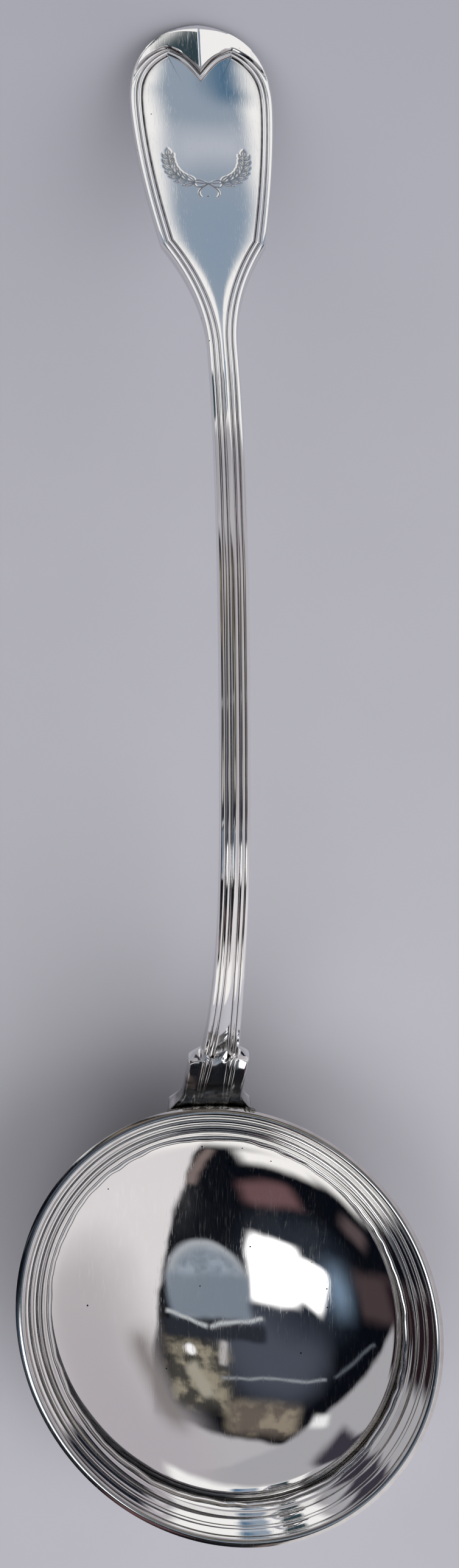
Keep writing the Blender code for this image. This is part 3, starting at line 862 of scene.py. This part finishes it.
# %% Skin of the handle
face = np.concatenate([part[:, ::-1] for part in (field, inner_bead, outer_bead, border)], axis=1)
face_heights = (field_height, inner_height, outer_height, border_height)
face_height = np.concatenate([part[:, ::-1] for part in face_heights], axis=1)
face_height += swelling(face[..., 0], face[..., 1])
flat = np.concatenate([face, side, rear], axis=1)
height = np.concatenate([face_height, side_height, rear_height], axis=1)
points = []
faces = []
for mirror in (1.0, -1.0):
    faces += grid_faces(rows, flat.shape[1], first=len(points) * flat[..., 0].size)
    points.append(place(flat[..., 0], mirror * flat[..., 1], height))
handle = add_piece("struck_handle", np.array(points), faces, np.tile(tarnish_and_painted_reflection, (2, 1, 1)))
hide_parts("handle")

# %% [markdown]
# ## Solder at the heel
# The drop was soldered to the back of the bowl. A thin fillet shows round it from below, and
# where the shoulders pass the rim some solder stands in small lumps that were never filed off.
# Metaballs could make the lumps, but their size is hard to hold, so both are short sweeps, and
# the lumps get an uneven radius.

# %% Fillet round the drop
HEEL_FILLET = 0.0010
HEEL_FILLET_HEIGHT = 0.0006
HEEL_START = 0.0020
FILLET_TARNISH = 0.6


def tube_faces(rows, columns):
    """Faces of a tube of points, with one more face over each end."""
    caps = [list(range(columns)), list(range((rows - 1) * columns, rows * columns))]
    return grid_faces(rows, columns, columns_join=True) + caps


below_lip = np.nonzero(edge[:, 0] > LIP + HEEL_START)[0]
path = [(i, 1.0) for i in below_lip] + [(i, -1.0) for i in below_lip[-2::-1]]
outwards = -inward(edge, 1.0)
points = []
for i, mirror in path:
    ring = []
    for a in np.linspace(0.0, math.pi / 2, 7):
        out = SEAT_GAP + HEEL_FILLET * (1.0 - math.cos(a))
        ring.append((*(edge[i] + out * outwards[i]), -HEEL_FILLET_HEIGHT * (1.0 - math.sin(a))))
    ring.append((*(edge[i] + SEAT_GAP * outwards[i]), 0.0))
    ring = np.array(ring)
    points.append(place(ring[:, 0], mirror * ring[:, 1], ring[:, 2]))
points = np.array(points)
faces = tube_faces(*points.shape[:2])
fillet = add_piece("heel_solder_fillet", points, faces, np.full(points.shape[:2], FILLET_TARNISH))
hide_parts("heel_solder")

# %% Lumps at the shoulders
LUMP_RADIUS = 0.00055
LUMPS_PER_METRE = 700.0
LUMPINESS = 0.8
LUMP_ENDS = (0.0006, 0.0012)
LUMP_SINK = 0.0004
BLOB_GROWTH = 0.9
BLOB_LENGTH = 0.0018
LUMP_TARNISH = 0.9

rolled = max(rim_section, key=lambda point: point[0])
x = np.linspace(-heel - LUMP_ENDS[0], heel + LUMP_ENDS[1], 90) + HANDLE_ASIDE
lumpy = []
for number, across in enumerate(x):
    coarse = noise.noise(Vector((across * LUMPS_PER_METRE, 3.0, 0.0)))
    fine = noise.noise(Vector((across * 3.0 * LUMPS_PER_METRE, 7.0, 0.0)))
    # the ends are drawn to a blunt point
    end = math.sin(math.pi * (number + 0.5) / len(x)) ** 0.3
    lumpy.append(LUMP_RADIUS * (1.0 + LUMPINESS * (coarse + 0.5 * fine)) * end)
# one blob of solder is left at the right shoulder
blob = np.exp(-(((x - HANDLE_ASIDE - heel) / BLOB_LENGTH) ** 2))
lumpy = np.array(lumpy) * (1.0 + BLOB_GROWTH * blob)
a = np.linspace(0.0, 2.0 * math.pi, 14, endpoint=False)
points = np.empty((len(x), len(a), 3))
points[..., 0] = x[:, None]
points[..., 1] = bowl_side(rolled[0], x)[:, None] + lumpy[:, None] * np.cos(a)
points[..., 2] = rolled[1] - LUMP_SINK + lumpy[:, None] * np.sin(a)
faces = tube_faces(len(x), len(a))
lumps = add_piece("heel_solder_lumps", points, faces, np.full(points.shape[:2], LUMP_TARNISH))

# %% [markdown]
# ## Polished sterling silver
# Sterling silver is 92.5 parts silver. Buffed, it mirrors nearly all the light, a little less
# of the blue. A hundred years of use leave fine scratches in every direction, dull patches
# where fingers touch, and brown to black sulphide in the grooves. The shader is a metal whose
# roughness follows the patches and hairlines, with a very small bump, and whose colour turns
# to sulphide black where the layer on the mesh says so. On the neck and the rolled edge of the
# rim that black is a painted dark reflection.

# %% Colours and nodes
def linear(hex_colour):
    """A colour written as sRGB hex, as the linear light that the shaders take."""
    channels = [int(hex_colour[i : i + 2], 16) / 255.0 for i in (0, 2, 4)]
    return [c / 12.92 if c <= 0.04045 else ((c + 0.055) / 1.055) ** 2.4 for c in channels] + [1.0]


def add_node(tree, kind, settings=None, **inputs):
    """One node with its settings. Inputs are numbers, colours or sockets of other nodes."""
    node = tree.nodes.new(kind)
    for name, value in (settings or {}).items():
        setattr(node, name, value)
    for name, value in inputs.items():
        socket = node.inputs[int(name[1:])] if name[0] == "_" else node.inputs[name.replace("_", " ")]
        if isinstance(value, bpy.types.NodeSocket):
            tree.links.new(value, socket)
        else:
            socket.default_value = value
    return node


MM = 0.001
SMOOTH = {"interpolation_type": "SMOOTHSTEP"}
BLEND = {"data_type": "RGBA"}
print("mid grey 808080 gives back", round(linear("808080")[0], 3), "of the light")


# %% Scratches and tarnish
HAIRLINE_WIDTH = 0.3
RUB_SIZE = 2.5
PIT_SPACING = 6


def scratches(tree, where, streak):
    """Hairlines in three directions, the longest of them streak millimetres long."""
    every_way = None
    # hairlines are a few hundredths wide in truth, and drawn 0.3 mm wide so that they show
    for turn, length in ((0.15, streak), (-1.1, 0.5 * streak), (1.25, 0.6 * streak)):
        laid = add_node(tree, "ShaderNodeMapping", Vector=where, Rotation=(0.0, 0.0, turn))
        laid.inputs["Scale"].default_value = (1 / (HAIRLINE_WIDTH * MM), 1 / (length * MM), 1 / (2 * MM))
        drawn = add_node(tree, "ShaderNodeTexNoise", Vector=laid.outputs["Vector"], Scale=1.0, Detail=2.0)
        # only the peaks of the noise are scratches
        thin = add_node(
            tree, "ShaderNodeMapRange", SMOOTH, Value=drawn.outputs[0], From_Min=0.60, From_Max=0.74
        ).outputs["Result"]
        if every_way is None:
            every_way = thin
        else:
            crossed = add_node(tree, "ShaderNodeMath", {"operation": "MAXIMUM"}, _0=every_way, _1=thin)
            every_way = crossed.outputs[0]
    return every_way


def sulphide_and_painted_reflection(tree, where):
    """Tarnish and painted dark reflection from the layer on the mesh, broken up by rubbing."""
    layer = add_node(tree, "ShaderNodeAttribute", {"attribute_name": "tarnish_and_painted_reflection"})
    rubbed = add_node(tree, "ShaderNodeTexNoise", Vector=where, Scale=1 / (RUB_SIZE * MM), Detail=3.0)
    kept = add_node(
        tree, "ShaderNodeMapRange", Value=rubbed.outputs[0],
        From_Min=0.3, From_Max=0.7, To_Min=0.6, To_Max=1.0,
    )
    return add_node(
        tree, "ShaderNodeMath", {"operation": "MULTIPLY", "use_clamp": True},
        _0=layer.outputs["Fac"], _1=kept.outputs["Result"],
    ).outputs[0]


def pitting(tree, where, pits):
    """Small pits that never polish out; pits is their radius as a share of their spacing."""
    cells = add_node(tree, "ShaderNodeTexVoronoi", Vector=where, Scale=1 / (PIT_SPACING * MM))
    return add_node(
        tree, "ShaderNodeMapRange", SMOOTH, Value=cells.outputs["Distance"],
        From_Min=pits, From_Max=0.6 * pits,
    ).outputs["Result"]


print("hairlines are", HAIRLINE_WIDTH, "mm wide, rubbed spots", RUB_SIZE, "mm, pits", PIT_SPACING, "mm apart")


# %% Silver and solder
SILVER = linear("F5F4F4")
# sulphide black; on the neck and the rolled edge it is a painted dark reflection
SULPHIDE_AND_PAINTED_REFLECTION = linear("1B1815")
SOLDER = linear("CFCDC6")
FINGER_MARK = 9
FINGER_DULLING = 0.035
SCRATCH_DULLING = 0.06
SULPHIDE_DULLING = 0.12


def polished_silver(name, polish, hairline, streak, pits, tint=SILVER):
    """Worn polished silver: polish is its roughness, hairline the bump of its scratches in mm."""
    material = bpy.data.materials.new(name)
    material.use_nodes = True
    tree = material.node_tree
    shader = tree.nodes["Principled BSDF"]
    shader.inputs["Metallic"].default_value = 1.0
    where = add_node(tree, "ShaderNodeTexCoord").outputs["Object"]
    marks = add_node(
        tree, "ShaderNodeTexNoise", Vector=where, Scale=1 / (FINGER_MARK * MM), Detail=3.0, Roughness=0.55
    )
    dull = add_node(
        tree, "ShaderNodeMapRange", Value=marks.outputs[0],
        From_Min=0.35, From_Max=0.75, To_Min=polish, To_Max=polish + FINGER_DULLING,
    )
    lines = scratches(tree, where, streak)
    scratched = add_node(
        tree, "ShaderNodeMath", {"operation": "MULTIPLY_ADD"},
        _0=lines, _1=SCRATCH_DULLING, _2=dull.outputs["Result"],
    )
    black = sulphide_and_painted_reflection(tree, where)
    pit = pitting(tree, where, pits)
    dark = add_node(tree, "ShaderNodeMath", {"operation": "MAXIMUM"}, _0=black, _1=pit)
    colour = add_node(tree, "ShaderNodeMix", BLEND, _0=dark.outputs[0], _6=tint, _7=SULPHIDE_AND_PAINTED_REFLECTION)
    rough = add_node(
        tree, "ShaderNodeMath", {"operation": "MULTIPLY_ADD"},
        _0=black, _1=SULPHIDE_DULLING, _2=scratched.outputs[0],
    )
    bump = add_node(tree, "ShaderNodeBump", Height=lines, Strength=1.0, Distance=hairline * MM)
    tree.links.new(colour.outputs["Result"], shader.inputs["Base Color"])
    tree.links.new(rough.outputs[0], shader.inputs["Roughness"])
    tree.links.new(bump.outputs["Normal"], shader.inputs["Normal"])
    return material


# polish, bump of the hairlines in mm, their length in mm, and pits; solder is greyer and duller
# than the sheet, so it blurs what it mirrors
FINISHES = {
    bowl: polished_silver("raised and polished sterling silver", 0.018, 0.0006, 6.0, 0.045),
    rim: polished_silver("drawn sterling silver moulding", 0.03, 0.0004, 4.0, 0.02),
    handle: polished_silver("die struck sterling silver", 0.03, 0.0008, 14.0, 0.03),
    rim_seam: polished_silver("filed silver solder", 0.16, 0.0006, 3.0, 0.05, SOLDER),
    fillet: polished_silver("silver solder fillet", 0.24, 0.0010, 3.0, 0.05, SOLDER),
    lumps: polished_silver("unfiled silver solder", 0.16, 0.0010, 3.0, 0.05, SOLDER),
}
for piece, finish in FINISHES.items():
    piece.data.materials.append(finish)
print("finishes:", sorted(material.name for material in FINISHES.values()))

# %% [markdown]
# ## Table top
# The ladle lies on a smooth painted board, pale grey with a breath of violet. Matt paint shows
# no mirror image, only soft shadows. A flat colour would look like a cut-out, so a slow mottle
# moves it by a few parts in a hundred. Towards the far end it is made a little darker: that is
# painted shade, for light that falls off there.

# %% Painted board
BOARD = linear("B0AFB7")
BOARD_SHADE = linear("A9A8B0")
# painted shade at the far end of the board
BOARD_FAR_PAINTED_SHADE = linear("999AA5")
MOTTLE_SIZE = 40
FADE_FROM = 70
FADE_TO = 420
BOARD_HALF = 3

floor_mesh = bpy.data.meshes.new("table_top")
board_corners = [(BOARD_HALF * x, BOARD_HALF * y, 0) for x, y in ((-1, -1), (1, -1), (1, 1), (-1, 1))]
floor_mesh.from_pydata(board_corners, [], [(0, 1, 2, 3)])
floor = bpy.data.objects.new("table_top", floor_mesh)
bpy.context.scene.collection.objects.link(floor)
board = bpy.data.materials.new("matt painted board")
board.use_nodes = True
tree = board.node_tree
where = add_node(tree, "ShaderNodeTexCoord").outputs["Object"]
mottle = add_node(tree, "ShaderNodeTexNoise", Vector=where, Scale=1 / (MOTTLE_SIZE * MM), Detail=4.0)
paint = add_node(tree, "ShaderNodeMix", BLEND, _0=mottle.outputs[0], _6=BOARD, _7=BOARD_SHADE)
# painted shade that deepens towards the far end of the board
far_way = add_node(tree, "ShaderNodeSeparateXYZ", _0=where).outputs["Y"]
far = add_node(
    tree, "ShaderNodeMapRange", SMOOTH, Value=far_way, From_Min=FADE_FROM * MM, From_Max=FADE_TO * MM
).outputs["Result"]
paint = add_node(tree, "ShaderNodeMix", BLEND, _0=far, _6=paint.outputs["Result"], _7=BOARD_FAR_PAINTED_SHADE)
shader = tree.nodes["Principled BSDF"]
shader.inputs["Roughness"].default_value = 0.6
shader.inputs["Specular IOR Level"].default_value = 0.2
tree.links.new(paint.outputs["Result"], shader.inputs["Base Color"])
floor_mesh.materials.append(board)
print("board is", 2 * BOARD_HALF, "m wide, with a mottle of", MOTTLE_SIZE, "mm")

# %% [markdown]
# ## The room that the silver mirrors
# A polished ladle is mostly a picture of the room around it: a white wall on one side, a grey
# one beyond the handle, a dark corner with a window, and some clutter on shelves. A studio
# would stand white and black cards round the ladle for the same effect. Here each card is a
# soft-edged patch of the sky, given by the way to its middle (azimuth from +X, elevation) and
# its size in degrees. They are laid one over the other, so that later ones hide earlier ones.
# The walls stay near white at strength 1 and the window is stronger, but only mirror images
# show the room. It hardly lights the table, so cards can be moved without a change of light.

# %% Soft-edged cards
def sky_way(azimuth, elevation):
    """The way to a place in the sky, in degrees round from +X and up."""
    across, up = math.radians(azimuth), math.radians(elevation)
    return Vector((math.cos(up) * math.cos(across), math.cos(up) * math.sin(across), math.sin(up)))


def round_card(tree, where, azimuth, elevation, radius, soft):
    """1 within an angle of a direction, 0 beyond it, with a soft edge. All are in degrees."""
    middle = sky_way(azimuth, elevation)
    near = add_node(tree, "ShaderNodeVectorMath", {"operation": "DOT_PRODUCT"}, _0=where, _1=middle)
    outer = math.cos(math.radians(radius + soft))
    inner = math.cos(math.radians(max(radius - soft, 0.0)))
    return add_node(
        tree, "ShaderNodeMapRange", SMOOTH, Value=near.outputs["Value"], From_Min=outer, From_Max=inner
    ).outputs["Result"]


def square_card(tree, where, azimuth, elevation, wide, high, roll, soft):
    """1 inside a four-sided card that faces the ladle, 0 outside it, with soft edges."""
    ahead = sky_way(azimuth, elevation)
    level = Vector((-math.sin(math.radians(azimuth)), math.cos(math.radians(azimuth)), 0.0))
    turn = Matrix.Rotation(math.radians(roll), 3, ahead)
    axes = Matrix((ahead, turn @ level, turn @ ahead.cross(level)))
    seen = add_node(tree, "ShaderNodeMapping", Vector=where, Rotation=axes.to_euler())
    parts = add_node(tree, "ShaderNodeSeparateXYZ", _0=seen.outputs["Vector"])
    in_front = add_node(tree, "ShaderNodeMath", {"operation": "GREATER_THAN"}, _0=parts.outputs["X"], _1=0.0)
    share = in_front.outputs[0]
    blur = math.sin(math.radians(soft))
    for axis, size in (("Y", wide), ("Z", high)):
        off = add_node(tree, "ShaderNodeMath", {"operation": "ABSOLUTE"}, _0=parts.outputs[axis]).outputs[0]
        border = math.sin(math.radians(0.5 * size))
        inside = add_node(
            tree, "ShaderNodeMapRange", SMOOTH, Value=off, From_Min=border + blur, From_Max=border - blur
        ).outputs["Result"]
        share = add_node(tree, "ShaderNodeMath", {"operation": "MULTIPLY"}, _0=share, _1=inside).outputs[0]
    return share


print("azimuth 90 lies up the handle:", [round(part, 2) for part in sky_way(90.0, 0.0)])

# %% The empty room
SWAY = 0.08
HAZE_TOP = 0.1
HAZE = linear("C9CACE")
DARK_ROOM = linear("080B12")

world = bpy.data.worlds.new("room")
bpy.context.scene.world = world
world.use_nodes = True
tree = world.node_tree
straight = add_node(tree, "ShaderNodeTexCoord").outputs["Generated"]
# nothing in a room has a drawn edge, so directions sway by about a degree
sway = add_node(tree, "ShaderNodeTexNoise", Vector=straight, Scale=4.0, Detail=2.0).outputs["Color"]
swayed = add_node(
    tree, "ShaderNodeVectorMath", {"operation": "MULTIPLY_ADD"}, _0=sway, _1=[SWAY] * 3, _2=straight
)
centred = add_node(tree, "ShaderNodeVectorMath", _0=swayed.outputs[0], _1=[-0.5 * SWAY] * 3)
where = add_node(tree, "ShaderNodeVectorMath", {"operation": "NORMALIZE"}, _0=centred.outputs[0]).outputs[0]
height = add_node(tree, "ShaderNodeSeparateXYZ", _0=where).outputs["Z"]
above = add_node(
    tree, "ShaderNodeMapRange", SMOOTH, Value=height, From_Min=0.0, From_Max=HAZE_TOP
).outputs["Result"]
sky = add_node(tree, "ShaderNodeMix", BLEND, _0=above, _6=HAZE, _7=DARK_ROOM)
print("room is dark above", round(math.degrees(math.asin(HAZE_TOP))), "degrees")

# %% Cards in the room
BLOTCHES = 11.0
BLOTCH_EDGE = (0.42, 0.62)
CARDS = [
    # colour, strength, azimuth, elevation, then radius or width, height and roll, then softness;
    # two colours make blotches, as jars and boxes on a shelf do
    ("B7B5B9", 1, 78.5, -16.5, (76, 1.5)),  # grey wall beyond the handle
    ("A8A7AB", 1, 123, -34, (90, 1.5)),  # pale wall on the left
    ("DEDADB", 1, 345, -6, (70, 1)),  # white wall on the right
    ("B6B1B4", 1, 356, 34, (18, 17)),  # shade on that wall
    ("B3AEB3", 1, 36, 30, (24, 16)),  # grey end of that wall
    ("463A3C", 1, 203, 29, (15, 26, -10, 3)),  # brown door
    ("564A4C", 1, 226, 25, (9, 8, 20, 3)),  # pale frame of the door
    ("3A3641", 1, 135, 25, (18, 36, 12, 3)),  # shaded corner
    ("F2F2F2", 1, 136, 54, (4.5, 6, 36, 1.5)),  # small lamp
    ("857F7E", 1, 24, 58, (30, 7, -12, 5)),  # pale curtain at the shelf
    ("4A4F5B", 1, 180, 80, (15, 9)),  # grey of the ceiling
    ("45433F/958E7D", 1, 33, 73, (21, 18, -36, 3)),  # jars and boxes on the shelf
    ("665D56/8F8576", 1, 102, 66, (24, 11, -15, 3)),  # olive boxes
    ("1E2530", 1, 226, 58, (14, 12)),  # glow round the window
    ("7389A0", 1, 212, 50, (13, 9, -30, 6)),  # sky light beside the window
    ("FFFFFF", 3, 244, 64, (13, 19, 21, 2.2)),  # window
    ("FFFFFF", 3, 222, 59, (10, 13, 30, 2.2)),  # its side light
    ("A9AEB4", 1, 296, 70, (11.5, 1.2)),  # pale hem of the blind
    ("7B8692/98A3AF", 1, 297, 71.5, (10.3, 2)),  # blue-grey blind overhead
    ("7A8591", 1, 302, 74, (23.5, 12, -30, 1.5)),  # lower part of the blind
    ("2A2D35", 1, 331, 81, (5.2, 30, 30, 1)),  # dark ceiling below the blind
    ("B9BDC0", 1, 336, 73, (1, 13, 6, 0.5)),  # wire across the ceiling
    ("C4C8CB", 1, 277, 83, (16, 0.9, 9, 0.5)),  # its far end
    ("8F949A", 1, 138, 76, (36, 0.8, -45, 0.5)),  # front edge of a shelf
    ("565C64", 1, 179, 49, (1, 22, 33, 0.6)),  # slanting edge of the shelf
    ("A39E90", 1, 38, 72, (11, 4.2, -15, 1.2)),  # jar
    ("B6B3B3", 1, 19, 84, (7, 2, -27, 0.8)),  # tall jar
    ("FFFFFF", 1, 7, 74, (1.4, 0.8)),  # lit bulb
    ("6A4F52", 1, 255, 38, (16, 10, 30, 3)),  # red-brown box
    ("7A6C69", 1, 279, 29, (3, 20, -24, 1.2)),  # shaded edge of the white wall
    ("FAF8F5", 1, 262, 8, (66, 17, 0, 4)),  # low white sill
    ("FAF8F5", 1, 255, 19, (22, 9, 22, 3)),  # sill under the window
    ("181B25", 1, 34, 6, (28, 18, 0, 3)),  # dark chair
    ("21171C", 1, 192, 10, (30, 28, 0, 4)),  # maroon curtain
    ("F8F7F5", 1, 84, 8, (54, 50, 0, 2.5)),  # white screen beyond the handle
    ("2F4148", 1, 99.5, 24, (8, 14, 0, 1.2)),  # dark post beside the screen
    ("929FAE", 1, 84.7, 12.5, (9.6, 35, 0, 1.4)),  # blue-grey door in it
    ("B6BCC6", 1, 84.7, 7.5, (9.4, 5, 0, 2.4)),  # light band across the door
    ("8A9CAF", 1, 84.7, -3, (9.4, 8.6, 0, 2)),  # lower panel of the door
    ("50708A", 1, 81.2, 21, (4, 12, 0, 2.4)),  # darker top of the door
]
for colour, strength, azimuth, elevation, size in CARDS:
    make = round_card if len(size) == 2 else square_card
    share = make(tree, where, azimuth, elevation, *size)
    light = [strength * part for part in linear(colour[:6])[:3]] + [1.0]
    if "/" in colour:
        blotches = add_node(tree, "ShaderNodeTexNoise", Vector=where, Scale=BLOTCHES, Detail=3.0)
        spots = add_node(
            tree, "ShaderNodeMapRange", SMOOTH, Value=blotches.outputs[0],
            From_Min=BLOTCH_EDGE[0], From_Max=BLOTCH_EDGE[1],
        ).outputs["Result"]
        second = linear(colour[7:])
        light = add_node(tree, "ShaderNodeMix", BLEND, _0=spots, _6=light, _7=second).outputs["Result"]
    sky = add_node(tree, "ShaderNodeMix", BLEND, _0=share, _6=sky.outputs["Result"], _7=light)
mirrored = tree.nodes["Background"]
tree.links.new(sky.outputs["Result"], mirrored.inputs["Color"])
print("room has", len(CARDS), "cards")

# %% [markdown]
# ## Soft light on the table
# The table is lit as a studio would light it: even light from all round, one very wide soft
# box at the lower right and a smaller one at the lower left, whose shadows lie beyond the
# bowl. Together they give about the level at which paint looks as it is mixed. Area lamps
# could do it too, but the silver would mirror them as bright squares. So the boxes are patches
# of the world that light the matt board and that mirror images don't show. The silver mirrors
# the room instead, and a plain backdrop is what a camera sees beyond the board's edge.

# %% Soft boxes and backdrop
EVEN_LIGHT = 0.30
SOFT_BOXES = [
    # strength, azimuth, elevation, radius, softness
    (4.2, 315, 40, 24, 16),
    (4.0, 235, 55, 14, 10),
]
level = EVEN_LIGHT
light = [EVEN_LIGHT] * 3 + [1.0]
for strength, azimuth, elevation, radius, soft in SOFT_BOXES:
    share = round_card(tree, straight, azimuth, elevation, radius, soft)
    box = add_node(tree, "ShaderNodeMix", BLEND, _0=share, _6=light, _7=[strength] * 3 + [1.0])
    light = box.outputs["Result"]
    cap = 1.0 - math.cos(math.radians(radius))
    level += 2.0 * (strength - EVEN_LIGHT) * cap * math.sin(math.radians(elevation))
lighting = add_node(tree, "ShaderNodeBackground", Color=light)
backdrop = add_node(tree, "ShaderNodeBackground", Color=HAZE)
path = add_node(tree, "ShaderNodeLightPath").outputs
lit = add_node(
    tree, "ShaderNodeMixShader", _0=path["Is Glossy Ray"], _1=lighting.outputs[0], _2=mirrored.outputs[0]
)
seen = add_node(
    tree, "ShaderNodeMixShader", _0=path["Is Camera Ray"], _1=lit.outputs[0], _2=backdrop.outputs[0]
)
tree.links.new(seen.outputs[0], tree.nodes["World Output"].inputs["Surface"])
print("light on the table", round(level, 2), "of the level at which paint looks as mixed")

# %% [markdown]
# ## Camera
# The view is from nearly straight above, a little to the left of the ladle, with the handle
# running up the frame. The frame is tall, so the sensor's long side is its height.

# %% Camera above the ladle
CAMERA_AT = Vector((-0.0601, 0.1250, 0.6000))
LOOK_AT = Vector((0.0026, 0.1169, 0.0))
CAMERA_ROLL = math.radians(-0.06)
FOCAL_PIXELS = 4395
FRAME_HEIGHT = 2576
SENSOR = 36.0

ahead = (LOOK_AT - CAMERA_AT).normalized()
right = ahead.cross(Vector((0.0, 1.0, 0.0))).normalized()
up = right.cross(ahead)
rolled_right = math.cos(CAMERA_ROLL) * right + math.sin(CAMERA_ROLL) * up
rolled_up = math.cos(CAMERA_ROLL) * up - math.sin(CAMERA_ROLL) * right
camera_data = bpy.data.cameras.new("camera")
camera_data.sensor_width = SENSOR
camera_data.lens = SENSOR * FOCAL_PIXELS / FRAME_HEIGHT
camera = bpy.data.objects.new("camera", camera_data)
bpy.context.scene.collection.objects.link(camera)
axes = Matrix((rolled_right, rolled_up, -ahead)).transposed().to_4x4()
camera.matrix_world = Matrix.Translation(CAMERA_AT) @ axes
bpy.context.scene.camera = camera
bpy.context.scene.view_settings.view_transform = "Standard"
print("lens", round(camera_data.lens, 1), "mm")
